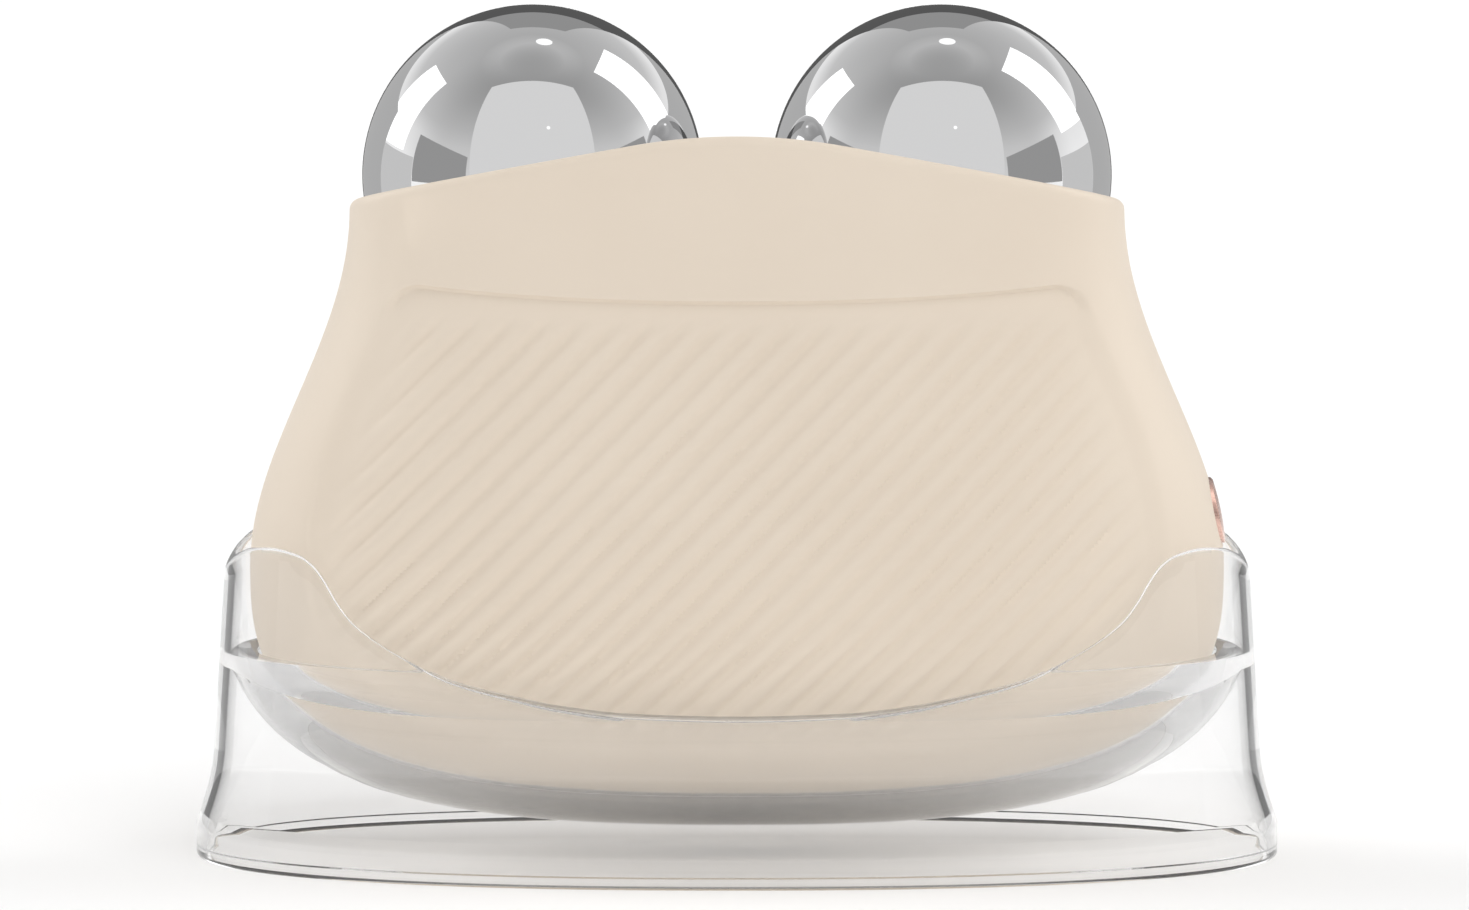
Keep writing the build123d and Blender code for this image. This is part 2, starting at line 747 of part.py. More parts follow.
cup_form = device_shape(-cup_gap)
bowl_form = device_shape(-cup_gap - cup_wall)
skirt_inside = skirt(stand_wall, -1, 27)
hollow = (skirt_inside & slab((-45, -25, -1), (45, 25, ledge_underside_z))) - bowl_form
upper_cup = skirt_inside & slab((-45, -25, ledge_z), (45, 25, 40))

with BuildPart() as rim_cut:
    with BuildSketch(Plane.XZ):
        with BuildLine():
            dip = Spline((0, 12.6), (13.5, 12.9), (19.6, 13.6), (24.2, 14.8), (27.3, 16.4), (28.9, 18),
                         (30.2, 20), (31.4, 21.8), (32.6, 22.9), (34.4, horn_top_z),
                         tangents=[(1, 0), (1, 0)])
            shoulder = FilletPolyline(dip @ 1, (stand_half_width - 2.1, horn_top_z), (stand_half_width - 1.9, 15),
                                      radius=1.6)
            Polyline(shoulder @ 1, (45, 15), (45, 45), (0, 45))
            mirror(about=Plane.YZ)
        make_face()
    extrude(amount=30, both=True)

with BuildPart() as display_stand:
    add(skirt(0, 0, 27))
    add(hollow, mode=Mode.SUBTRACT)
    add(cup_form, mode=Mode.SUBTRACT)
    add(upper_cup, mode=Mode.SUBTRACT)
    add(rim_cut.part, mode=Mode.SUBTRACT)
    foot_edges = display_stand.edges().group_by(Axis.Z)[0]
    fillet(foot_edges.sort_by(SortBy.LENGTH)[-1], radius=foot_radius)
save(display_stand.part, "display_stand")
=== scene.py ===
import json
import math

import bmesh
import bpy
import numpy as np
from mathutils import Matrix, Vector

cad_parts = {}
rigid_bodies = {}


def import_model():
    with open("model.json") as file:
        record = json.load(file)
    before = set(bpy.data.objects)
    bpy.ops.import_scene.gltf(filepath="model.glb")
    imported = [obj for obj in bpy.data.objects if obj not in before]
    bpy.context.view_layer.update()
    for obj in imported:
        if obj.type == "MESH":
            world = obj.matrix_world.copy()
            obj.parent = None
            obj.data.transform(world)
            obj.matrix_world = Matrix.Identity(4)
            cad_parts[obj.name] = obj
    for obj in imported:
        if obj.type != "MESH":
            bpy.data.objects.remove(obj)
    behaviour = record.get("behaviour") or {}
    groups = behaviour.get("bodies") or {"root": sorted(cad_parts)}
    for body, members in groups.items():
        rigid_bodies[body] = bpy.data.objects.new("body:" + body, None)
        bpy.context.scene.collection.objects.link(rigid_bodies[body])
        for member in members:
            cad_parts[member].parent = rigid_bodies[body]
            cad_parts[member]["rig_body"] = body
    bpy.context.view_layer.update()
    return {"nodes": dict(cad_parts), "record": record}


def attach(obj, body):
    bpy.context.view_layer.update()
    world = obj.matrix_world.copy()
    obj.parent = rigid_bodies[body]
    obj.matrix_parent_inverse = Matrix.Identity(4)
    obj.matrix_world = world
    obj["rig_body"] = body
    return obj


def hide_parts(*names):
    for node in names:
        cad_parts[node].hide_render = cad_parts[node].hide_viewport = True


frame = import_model()
mm = 0.001
print("frame loaded")

# The device's outer form, in millimetres, as its mouldings are drawn
device = {
    "bellyZ": 22.7, "bellyHalfWidth": 37.2, "bellyHalfDepth": 19.0,
    "floorZ": 4.95,
    "neckZ": 50.0, "neckHalfWidth": 29.55, "neckHalfDepth": 15.4,
    "bellyRoundness": 2.3, "neckRoundness": 3.2,
    "keelWidthPower": 2.9, "keelDepthPower": 2.4, "fadePower": 0.93,
}


def bellyBlend(z):  # 1 at the belly, 0 at the neck
    share = min(max((z - device["bellyZ"]) / (device["neckZ"] - device["bellyZ"]), 0), 1)
    return (1 + math.cos(math.pi * share ** device["fadePower"])) / 2


def keel(z, inset, power):
    drop = device["bellyZ"] - device["floorZ"] - inset
    share = min((device["bellyZ"] - z) / drop, 1)
    return (1 - share ** power) ** (1 / power)


def deviceHalf(z, inset, side):  # side is "Width" or "Depth"
    belly = device["bellyHalf" + side]
    neck = device["neckHalf" + side]
    if z < device["bellyZ"]:
        return (belly - inset) * keel(z, inset, device["keel" + side + "Power"])
    return neck + (belly - neck) * bellyBlend(z) - inset


def deviceRoundness(z):
    if z < device["bellyZ"]:
        return device["bellyRoundness"]
    change = device["neckRoundness"] - device["bellyRoundness"]
    return device["neckRoundness"] - change * bellyBlend(z)


def ovalRadius(angle, halfX, halfY, power):  # from the centre to a superellipse, in one direction
    if min(halfX, halfY) <= 0:
        return 0.0
    across = abs(math.cos(angle)) / halfX
    along = abs(math.sin(angle)) / halfY
    return (across ** power + along ** power) ** (-1 / power)


def deviceRadius(angle, z, inset=0.0):
    return ovalRadius(angle, deviceHalf(z, inset, "Width"), deviceHalf(z, inset, "Depth"),
                      deviceRoundness(z))


def between(start, end, count):
    return [start + (end - start) * index / count for index in range(count + 1)]


def stepsAlong(start, *runs):  # from start to each run's end in turn, in that run's count of steps
    values = [start]
    for end, count in runs:
        values += between(start, end, count)[1:]
        start = end
    return values


def roundTurns(count):  # a full turn in even steps
    return between(0, 2 * math.pi, count)[:-1]


def ovalAngles(turns, halfX, halfY):  # directions that spread points evenly round an oval
    return [math.atan2(halfY * math.sin(turn), halfX * math.cos(turn)) for turn in turns]


def keelHeights(inset, top, count):  # heights up the rounded keel, without its lowest point
    drop = device["bellyZ"] - device["floorZ"] - inset
    last = math.asin((device["bellyZ"] - top) / drop)
    return [device["bellyZ"] - drop * math.sin(turn) for turn in between(math.pi / 2, last, count)[1:]]


# Finishes
noiseLow, noiseHigh = 0.3, 0.7  # most values of a noise lie between these


def mathNode(tree, operation, first, second=None):
    node = tree.nodes.new("ShaderNodeMath")
    node.operation = operation
    for socket, value in zip(node.inputs, (first, second)):
        if isinstance(value, (int, float)):
            socket.default_value = value
        elif value is not None:
            tree.links.new(value, socket)
    return node.outputs["Value"]


def mixShaders(tree, factor, first, second):
    mix = tree.nodes.new("ShaderNodeMixShader")
    tree.links.new(factor, mix.inputs["Fac"])
    tree.links.new(first, mix.inputs[1])
    tree.links.new(second, mix.inputs[2])
    return mix.outputs["Shader"]


def newFinish(name):
    material = bpy.data.materials.new(name)
    material.use_nodes = True
    tree = material.node_tree
    shader = tree.nodes["Principled BSDF"]
    return material, tree, shader


def setSockets(node, values):
    for socket, value in values.items():
        node.inputs[socket].default_value = value


def objectNoise(tree, scale, detail, stretch):
    place = tree.nodes.new("ShaderNodeTexCoord")
    mapping = tree.nodes.new("ShaderNodeMapping")
    mapping.inputs["Scale"].default_value = stretch
    noise = tree.nodes.new("ShaderNodeTexNoise")
    setSockets(noise, {"Scale": scale, "Detail": detail})
    tree.links.new(place.outputs["Object"], mapping.inputs["Vector"])
    tree.links.new(mapping.outputs["Vector"], noise.inputs["Vector"])
    return noise.outputs["Fac"]


def spread(tree, factor, low, high):
    reach = tree.nodes.new("ShaderNodeMapRange")
    setSockets(reach, {"From Min": noiseLow, "From Max": noiseHigh, "To Min": low, "To Max": high})
    tree.links.new(factor, reach.inputs["Value"])
    return reach.outputs["Result"]


def twoTones(tree, shader, factor, dark, light):
    mix = tree.nodes.new("ShaderNodeMix")
    mix.data_type = "RGBA"
    mix.inputs["A"].default_value = (*dark, 1)
    mix.inputs["B"].default_value = (*light, 1)
    tree.links.new(factor, mix.inputs["Factor"])
    tree.links.new(mix.outputs["Result"], shader.inputs["Base Color"])


def relief(tree, shader, height, distance, strength):
    bump = tree.nodes.new("ShaderNodeBump")
    setSockets(bump, {"Strength": strength, "Distance": distance})
    tree.links.new(height, bump.inputs["Height"])
    tree.links.new(bump.outputs["Normal"], shader.inputs["Normal"])


# A finish from its look, with soft tones and a relief where the look has them
def makeFinish(name, look):
    material, tree, shader = newFinish(name)
    setSockets(shader, look["sockets"])
    if "toneScale" in look:
        tone = objectNoise(tree, look["toneScale"], look["toneDetail"], (1, 1, 1))
        twoTones(tree, shader, spread(tree, tone, 0, 1), look["darkTone"], look["lightTone"])
    grain = objectNoise(tree, look["grainScale"], look["grainDetail"], look.get("grainStretch", (1, 1, 1)))
    tree.links.new(spread(tree, grain, *look["roughness"]), shader.inputs["Roughness"])
    if "grainHeight" in look:
        relief(tree, shader, grain, look["grainHeight"], look["grainStrength"])
    return material


creamLook = {
    "sockets": {"Specular IOR Level": 0.35, "Sheen Weight": 0.5, "Sheen Roughness": 0.4,
                "Sheen Tint": (1.0, 0.9, 0.78, 1)},
    "toneScale": 60, "toneDetail": 3, "darkTone": (0.715, 0.618, 0.51), "lightTone": (0.735, 0.64, 0.532),
    "grainScale": 2600, "grainDetail": 2, "roughness": (0.44, 0.52),
    "grainHeight": 0.000006, "grainStrength": 0.6,
}
chromeLook = {
    "sockets": {"Base Color": (0.88, 0.88, 0.885, 1), "Metallic": 1.0},
    "grainScale": 900, "grainDetail": 4, "grainStretch": (1, 1, 3), "roughness": (0.012, 0.03),
}
roseLook = {
    "sockets": {"Metallic": 0.85},
    "toneScale": 300, "toneDetail": 2, "darkTone": (0.83, 0.53, 0.44), "lightTone": (0.88, 0.59, 0.5),
    "grainScale": 900, "grainDetail": 3, "grainStretch": (1, 1, 12), "roughness": (0.2, 0.32),
}
acrylicLook = {
    "sockets": {"Base Color": (1, 1, 1, 1), "Transmission Weight": 1.0, "IOR": 1.49},
    "grainScale": 40, "grainDetail": 2, "roughness": (0.0, 0.004),
    "clearTint": (0.975, 0.975, 0.975, 1), "mostFolds": 2.5,
}
mouldingLook = {
    "toneScale": 250, "toneDetail": 3, "grainDetail": 2, "grainHeight": 0.00001, "grainStrength": 1.0,
    "roughnessSpread": 0.06,
}


def clearAcrylic():
    material = makeFinish("clearAcrylic", acrylicLook)
    tree = material.node_tree
    path = tree.nodes.new("ShaderNodeLightPath")  # lamps shine through, as they do through real acrylic
    through = tree.nodes.new("ShaderNodeBsdfTransparent")
    setSockets(through, {"Color": acrylicLook["clearTint"]})
    lit = mathNode(tree, "MAXIMUM", path.outputs["Is Shadow Ray"], path.outputs["Is Diffuse Ray"])
    trapped = mathNode(tree, "GREATER_THAN", path.outputs["Glossy Depth"], acrylicLook["mostFolds"])
    clear = mathNode(tree, "MAXIMUM", lit, trapped)
    shown = mixShaders(tree, clear, tree.nodes["Principled BSDF"].outputs["BSDF"], through.outputs["BSDF"])
    tree.links.new(shown, tree.nodes["Material Output"].inputs["Surface"])
    return material


def plainMoulding(name, dark, light, roughness, grainScale=1800, metallic=0.0):
    apart = mouldingLook["roughnessSpread"]
    return makeFinish(name, {
        **mouldingLook, "sockets": {"Metallic": metallic}, "darkTone": dark, "lightTone": light,
        "grainScale": grainScale, "roughness": (roughness - apart, roughness + apart)})


# A plain moulding's numbers are its dark and light tone, roughness, grain scale and metallic share
finishes = {
    "cream_plastic": makeFinish("creamPlastic", creamLook),
    "chrome": makeFinish("mirrorChrome", chromeLook),
    "clear_plastic": clearAcrylic(),
    "rose_metal": makeFinish("roseMetal", roseLook),
    "dark_rubber": plainMoulding("darkRubber", (0.012, 0.012, 0.013), (0.02, 0.02, 0.022), 0.7),
    "screw_steel": plainMoulding("screwSteel", (0.5, 0.5, 0.5), (0.62, 0.62, 0.63), 0.3, 2500, 1.0),
    "brass": plainMoulding("stampedBrass", (0.6, 0.42, 0.16), (0.72, 0.52, 0.22), 0.3, 2500, 1.0),
    "lead_jacket": plainMoulding("leadJacket", (0.3, 0.015, 0.012), (0.36, 0.02, 0.016), 0.45),
    "frame_plastic": plainMoulding("framePlastic", (0.74, 0.74, 0.71), (0.8, 0.8, 0.77), 0.5),
    "board_green": plainMoulding("boardGreen", (0.01, 0.09, 0.035), (0.015, 0.13, 0.05), 0.35, 700),
    "component_black": plainMoulding("componentBlack", (0.01, 0.01, 0.01), (0.018, 0.018, 0.018), 0.4),
    "led_white": plainMoulding("ledWhite", (0.8, 0.8, 0.7), (0.88, 0.88, 0.8), 0.3),
    "lens_white": plainMoulding("lensWhite", (0.82, 0.82, 0.8), (0.9, 0.9, 0.88), 0.25),
    "battery_foil": plainMoulding("batteryFoil", (0.5, 0.51, 0.52), (0.62, 0.63, 0.64), 0.35, 500, 0.9),
    "foam": plainMoulding("foamPad", (0.02, 0.02, 0.02), (0.04, 0.04, 0.04), 0.9, 1500),
    "port_steel": plainMoulding("portSteel", (0.5, 0.5, 0.5), (0.6, 0.6, 0.6), 0.3, 2500, 1.0),
}
print("finishes made")


# Pieces
weldDistance = 0.000001
tiny = 1e-6  # millimetres under which a ring is a pole and two points are one
creaseAngles = {"form": 35, "cover": 32, "cadCopy": 25}


def slotOf(node):
    return next(part["material_slot"] for part in frame["record"]["subparts"] if part["node"] == node)


def placeObject(name, data):
    item = bpy.data.objects.new(name, data)
    bpy.context.scene.collection.objects.link(item)
    return item


def makePiece(name, mesh, node):
    piece = placeObject(name, mesh)
    mesh.materials.clear()
    mesh.materials.append(finishes[slotOf(node)])
    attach(piece, frame["nodes"][node]["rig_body"])
    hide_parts(node)
    return piece


# A closed skin over rows of points, in millimetres. A row of one point is a pole.
def gridMesh(name, rows):
    mesh = bmesh.new()
    rings = []
    for row in rows:
        rings.append([mesh.verts.new([value * mm for value in point]) for point in row])
    for lower, upper in zip(rings, rings[1:]):
        count = max(len(lower), len(upper))
        for index in range(count):
            after = (index + 1) % count
            corners = [lower[index % len(lower)], lower[after % len(lower)],
                       upper[after % len(upper)], upper[index % len(upper)]]
            corners = [v for i, v in enumerate(corners) if v not in corners[:i]]
            mesh.faces.new(corners)
    result = bpy.data.meshes.new(name)
    bmesh.ops.recalc_face_normals(mesh, faces=mesh.faces)
    mesh.to_mesh(result)
    mesh.free()
    return result


# A closed skin between two poles, from a section of (radius, height) points at each angle
def turnedForm(name, angles, sections, startZ, endZ):
    columns = [[(radius * math.cos(angle), radius * math.sin(angle), z) for radius, z in section]
               for angle, section in zip(angles, sections)]
    return gridMesh(name, [[(0, 0, startZ)], *zip(*columns), [(0, 0, endZ)]])


def shadeByAngle(mesh, degrees):
    mesh.shade_smooth()
    mesh.set_sharp_from_angle(angle=math.radians(degrees))


def smoothCopy(node):
    copy = bmesh.new()
    copy.from_mesh(frame["nodes"][node].data)
    bmesh.ops.remove_doubles(copy, verts=copy.verts, dist=weldDistance)
    mesh = bpy.data.meshes.new(node + "Smooth")
    copy.to_mesh(mesh)
    copy.free()
    shadeByAngle(mesh, creaseAngles["cadCopy"])
    return makePiece(node + "_shell", mesh, node)


stand = {
    "halfWidth": 41.4, "halfDepth": 22.0, "roundness": 2.2,
    "wall": 0.8, "cupGap": 0.25, "cupWall": 2.1,
    "ledgeZ": 15.9, "ledgeUndersideZ": 14.8,
    "footZ": 2.6, "footStartZ": 1.6, "footRadius": 0.4, "footInnerRadius": 0.28,
    "footStep": 0.11, "footStepZ": 0.85, "footStepHeight": 0.12, "footStepEdge": 0.02,
    "flareTopZ": 8.0, "flare": 1.35, "flarePower": 1.5, "lean": 0.85, "leanTopZ": 22.0,
    "rimLine": [(0, 12.7), (8, 12.9), (13.5, 13.5), (16.6, 14.1), (21.6, 15.3), (24.5, 16.6), (27.3, 18.1),
                (29.2, 19.5), (30.4, 21.0), (31.3, 22.5), (32.2, 23.6), (33.4, 24.3), (35.2, 24.6),
                (37.0, 24.3), (38.2, 23.5), (39.1, 22.4), (40.2, 20.8)],
    "rimEdge": 0.25, "rimShares": (0.03, 0.09, 0.19, 0.35, 0.5, 0.65, 0.81, 0.91, 0.97),
    "lowestRimZ": 5, "highestCupZ": 20, "highestRimZ": 24, "lowestBowlZ": 4,  # where heights are looked for
    "anglesRound": 520, "halvings": 40,
    "steps": {"cup": 26, "ledge": 5, "innerWall": 10, "outerWall": 14, "flare": 8, "foot": 6,
              "footInside": 5, "footBand": 3, "skirtInside": 16, "underside": 4, "bowl": 24},
}


def rimSlopes(line):  # slopes that keep the rim free of overshoot
    steps = [(b[1] - a[1]) / (b[0] - a[0]) for a, b in zip(line, line[1:])]
    inner = [2 * p * q / (p + q) if p * q > 0 else 0 for p, q in zip(steps, steps[1:])]
    return [0] + inner + [0]


rimTangents = rimSlopes(stand["rimLine"])


def rimHeight(x):
    line = stand["rimLine"]
    x = min(abs(x), line[-1][0])
    index = max(i for i in range(len(line) - 1) if line[i][0] <= x)
    (x0, z0), (x1, z1) = line[index], line[index + 1]
    width = x1 - x0
    t = (x - x0) / width
    return ((2 * t ** 3 - 3 * t ** 2 + 1) * z0 + (t ** 3 - 2 * t ** 2 + t) * width * rimTangents[index]
            + (3 * t ** 2 - 2 * t ** 3) * z1 + (t ** 3 - t ** 2) * width * rimTangents[index + 1])


def skirtHalf(z):
    upright = stand["halfWidth"] - stand["flare"]
    if z >= stand["flareTopZ"]:
        run = stand["leanTopZ"] - stand["flareTopZ"]
        return upright - stand["lean"] * (z - stand["flareTopZ"]) / run
    share = min((stand["flareTopZ"] - z) / (stand["flareTopZ"] - stand["footZ"]), 1)
    return upright + stand["flare"] * share ** stand["flarePower"]


def skirtRadius(angle, z, inset):
    half = skirtHalf(z) - inset
    return ovalRadius(angle, half, half - stand["halfWidth"] + stand["halfDepth"], stand["roundness"])


def solveHeight(wanted, low, high):  # the height where wanted(z) turns from above 0 to below 0
    for _ in range(stand["halvings"]):
        middle = (low + high) / 2
        if wanted(middle) > 0:
            low = middle
        else:
            high = middle
    return (low + high) / 2


# The foot's inner edge: rounded, then straight up to a small step
def footInside(inner):
    rounding, step, lowZ = stand["footInnerRadius"], stand["footStep"], stand["footStepZ"]
    highZ = lowZ + stand["footStepHeight"]
    points = [(inner(0) + step + rounding * (1 - math.sin(turn)), rounding * (1 - math.cos(turn)))
              for turn in between(0, math.pi / 2, stand["steps"]["footInside"])[:-1]]
    points += [(inner(z) + step, z) for z in (rounding, lowZ - stand["footStepEdge"], lowZ)]
    return points + [(inner(highZ) + step / 2, (lowZ + highZ) / 2), (inner(highZ), highZ)]


# The rim between the skirt's inner and outer wall, with both its edges rounded
def rimPoints(rim, start, end):
    width, edge = end - start, stand["rimEdge"]
    points = []
    for share in stand["rimShares"]:
        near = min(share, 1 - share) * width
        sink = edge - math.sqrt(edge ** 2 - (edge - near) ** 2) if near < edge else 0
        points.append((start + width * share, rim(start + width * share) - sink))
    return points


# One upright section of the stand: up the cup, over the rim, down the skirt and back under the bowl
def standProfile(angle):
    steps, edge, ledgeZ, footZ = stand["steps"], stand["rimEdge"], stand["ledgeZ"], stand["footZ"]
    rim = lambda radius: rimHeight(radius * math.cos(angle))
    cup = lambda z: deviceRadius(angle, z, -stand["cupGap"])
    bowl = lambda z: deviceRadius(angle, z, -stand["cupGap"] - stand["cupWall"])
    inner = lambda z: skirtRadius(angle, z, stand["wall"])
    outer = lambda z: skirtRadius(angle, z, 0)

    low, high = stand["lowestRimZ"], stand["highestRimZ"]
    cupTop = solveHeight(lambda z: min(rim(cup(z)), ledgeZ) - z, low, stand["highestCupZ"])
    innerTop = solveHeight(lambda z: rim(inner(z)) - z, low, high)
    outerTop = solveHeight(lambda z: rim(outer(z)) - z, low, high)
    meet = solveHeight(lambda z: inner(z) - bowl(z), stand["lowestBowlZ"], stand["ledgeUndersideZ"])

    points = [(cup(z), z) for z in keelHeights(-stand["cupGap"], cupTop, steps["cup"])]
    ledgeEnd = min(ledgeZ, innerTop)
    points += [(radius, min(rim(radius), ledgeZ))
               for radius in between(cup(cupTop), inner(ledgeEnd), steps["ledge"])[1:]]
    wallHeights = between(ledgeEnd, max(innerTop - edge, ledgeEnd), steps["innerWall"])[1:]
    points += [(inner(z), z) for z in wallHeights]
    points += rimPoints(rim, inner(innerTop), outer(outerTop))
    wallHeights = stepsAlong(outerTop - edge, (stand["flareTopZ"], steps["outerWall"]),
                             (footZ, steps["flare"]))
    points += [(outer(z), z) for z in wallHeights + [stand["footStartZ"]]]
    rounding = stand["footRadius"]
    points += [(outer(0) - rounding + rounding * math.cos(turn), rounding - rounding * math.sin(turn))
               for turn in between(0, math.pi / 2, steps["foot"])]
    points += footInside(inner)
    bandZ = stand["footStepZ"] + stand["footStepHeight"] + stand["footStepEdge"]
    wallHeights = stepsAlong(bandZ, (footZ, steps["footBand"]), (meet, steps["skirtInside"]))
    points += [(inner(z), z) for z in wallHeights]
    points += [(radius, meet) for radius in between(inner(meet), bowl(meet), steps["underside"])[1:]]
    bowlHeights = keelHeights(-stand["cupGap"] - stand["cupWall"], meet, steps["bowl"])
    return points + [(bowl(z), z) for z in bowlHeights[-2::-1]]


def buildStand():
    angles = ovalAngles(roundTurns(stand["anglesRound"]), stand["halfWidth"], stand["halfDepth"])
    cupFloor = device["floorZ"] - stand["cupGap"]
    mesh = turnedForm("standMoulding", angles, [standProfile(angle) for angle in angles],
                      cupFloor, cupFloor - stand["cupWall"])
    shadeByAngle(mesh, creaseAngles["form"])
    makePiece("stand_moulding", mesh, "display_stand")


buildStand()
print("stand made")

# The sloping deck. The spheres' axes stand square to its two slopes.
deck = {
    "peakZ": 57.37, "sideSlope": 0.178, "frontSlope": 0.12, "peakRadius": 45.0,
    "rimRadius": 0.8, "leastRimRadius": 0.1, "rimSteps": 6,
    "outerShare": 0.98, "deckSteps": 24, "fittedRows": 8,
}
sphere = {
    "x": 15.6, "z": 52.25, "radius": 13.0, "shell": 1.2, "flat": 3.2, "bore": 1.25, "boreTop": 4.6,
    "stepsRound": 160, "stepsOver": 90,
}


def sphereArc(radius, count):  # from the top down to the boss
    low = math.acos(-math.sqrt(radius ** 2 - sphere["flat"] ** 2) / radius)
    return [(radius * math.sin(over), radius * math.cos(over)) for over in between(0, low, count)]


def sphereOutline():
    bore, boreTop = sphere["bore"], sphere["boreTop"]
    outline = sphereArc(sphere["radius"], sphere["stepsOver"])
    outline += [(bore, outline[-1][1]), (bore, -boreTop), (sphere["flat"], -boreTop)]
    return outline + sphereArc(sphere["radius"] - sphere["shell"], sphere["stepsOver"] // 2)[::-1]


def buildSphere(side, name):
    axis = Vector((side * deck["sideSlope"], deck["frontSlope"], 1)).normalized()
    first = axis.orthogonal().normalized()
    second = axis.cross(first)
    centre = Vector((side * sphere["x"], 0, sphere["z"]))
    rows = []
    for radius, height in sphereOutline():
        turns = [0] if radius < tiny else roundTurns(sphere["stepsRound"])
        rows.append([centre + axis * height + (first * math.cos(t) + second * math.sin(t)) * radius
                     for t in turns])
    mesh = gridMesh(name, rows)
    shadeByAngle(mesh, creaseAngles["form"])
    makePiece(name, mesh, "electrode_" + name)


buildSphere(-1, "sphere_left")
buildSphere(1, "sphere_right")
print("spheres made")


def deckHeight(x, y, drop=0.0):
    turn = math.atan(deck["sideSlope"])
    x = abs(x)
    if x < deck["peakRadius"] * math.sin(turn):
        fall = math.sqrt(deck["peakRadius"] ** 2 - x ** 2) - deck["peakRadius"] / math.cos(turn)
    else:
        fall = -deck["sideSlope"] * x
    tilt = math.sqrt(1 + deck["frontSlope"] ** 2)
    return deck["peakZ"] - drop + fall * tilt - deck["frontSlope"] * (y + device["neckHalfDepth"])


# Radius and height of the last points of a section: over the rim and across the deck
def rimRing(angle, inset, drop):
    wide = deviceRadius(angle, device["neckZ"], inset)
    rounding = max(deck["rimRadius"] - inset, deck["leastRimRadius"])
    across, along = math.cos(angle), math.sin(angle)
    near = wide - rounding
    height = deckHeight(near * across, near * along, drop)
    slope = (deckHeight(wide * across, wide * along, drop) - height) / rounding
    centre = height - rounding * math.sqrt(1 + slope ** 2)
    over = math.atan2(1, -slope)
    points = [(near + rounding * math.cos(turn), centre + rounding * math.sin(turn))
              for turn in between(0, over, deck["rimSteps"])]
    edgeRadius = points[-1][0]
    for share in between(deck["outerShare"], 0, deck["deckSteps"])[:-1]:
        radius = edgeRadius * share
        points.append((radius, deckHeight(radius * across, radius * along, drop)))
    return centre, points


# The device's outer form, or that form moved inwards, as a closed mesh. Its last rows are fitted to the rim.
def bodyForm(name, angles, heights, inset=0.0, drop=0.0, warp=None):
    fitFrom = heights[-deck["fittedRows"]]
    sections = []
    for angle in angles:
        rimStart, top = rimRing(angle, inset, drop)
        section = []
        for z in heights:
            if warp:
                z = warp(angle, z)
            if z > fitFrom:
                z = fitFrom + (z - fitFrom) * (rimStart - fitFrom) / (heights[-1] - fitFrom)
            section.append((deviceRadius(angle, z, inset), z))
        sections.append(section + top[1:])
    return turnedForm(name, angles, sections, device["floorZ"] + inset, deckHeight(0, 0, drop))


def beltAngle(x, side):  # the direction of a point on the belly's outline, on the grip or button side
    share = abs(x) / device["bellyHalfWidth"]
    y = device["bellyHalfDepth"] * (1 - share ** device["bellyRoundness"]) ** (1 / device["bellyRoundness"])
    return math.atan2(side * y, x)


grip = {
    "recessDepth": 0.4, "topZ": 45.1, "topSag": 0.95, "cornerX": 24.0, "bendX": 26.1, "bendRise": 0.2,
    "side": [(27.9, 41.2), (31.3, 33.3), (33.0, 24.6), (31.7, 18.0), (28.2, 14.3), (23.4, 11.7), (13.6, 9.8),
             (0.0, 9.5)],
    "topSteps": 24, "cornerSteps": 12, "sideSteps": 10,
    "faceY": -1, "faceLowZ": 5.5, "faceHighZ": 48,  # the part of the shell that the grip is looked for on
    "softEdge": 1.8, "crispEdge": 0.3, "crispFromZ": 41.5, "crispFade": 2.5, "crispHalfWidth": 27,
    "ribPitch": 1.9, "ribDepth": 0.36, "ribCentreZ": 27.5, "slant": 45.0,
    "ribSideShare": 0.88, "ribSideGap": 0.5, "ribSideFade": 3.5, "ribTopZ": 43.4, "ribTopFade": 2.5,
    "ribLowZ": 10.5, "ribLowRise": 5, "ribLowHalfWidth": 28, "ribLowFade": 3,
    "reach": 34.0, "meshStep": 0.27,
}


def gripTopLine(x):
    share = min(abs(x) / grip["cornerX"], 1)
    return grip["topZ"] - grip["topSag"] * (1 - share ** 2)


def smoothLine(points, steps):  # a Catmull-Rom curve through the points
    line = []
    for index in range(len(points) - 1):
        around = [points[max(index - 1, 0)], points[index], points[index + 1],
                  points[min(index + 2, len(points) - 1)]]
        a, b, c, d = [np.array(p) for p in around]
        for t in np.linspace(0, 1, steps, endpoint=False):
            line.append((2 * b + (c - a) * t + (2 * a - 5 * b + 4 * c - d) * t ** 2
                         + (3 * b - 3 * c + d - a) * t ** 3) / 2)
    return line + [np.array(points[-1])]


def gripOutline():
    corner, start = np.array((grip["cornerX"], grip["topZ"])), np.array(grip["side"][0])
    bend = np.array((grip["bendX"], grip["topZ"] + grip["bendRise"]))
    top = [np.array((x, gripTopLine(x)))
           for x in np.linspace(0, grip["cornerX"], grip["topSteps"], endpoint=False)]
    turn = [(1 - t) ** 2 * corner + 2 * t * (1 - t) * bend + t ** 2 * start
            for t in np.linspace(0, 1, grip["cornerSteps"], endpoint=False)]
    right = np.array(top + turn + smoothLine(grip["side"], grip["sideSteps"]))
    return np.vstack([right, right[-2:0:-1] * (-1, 1)])


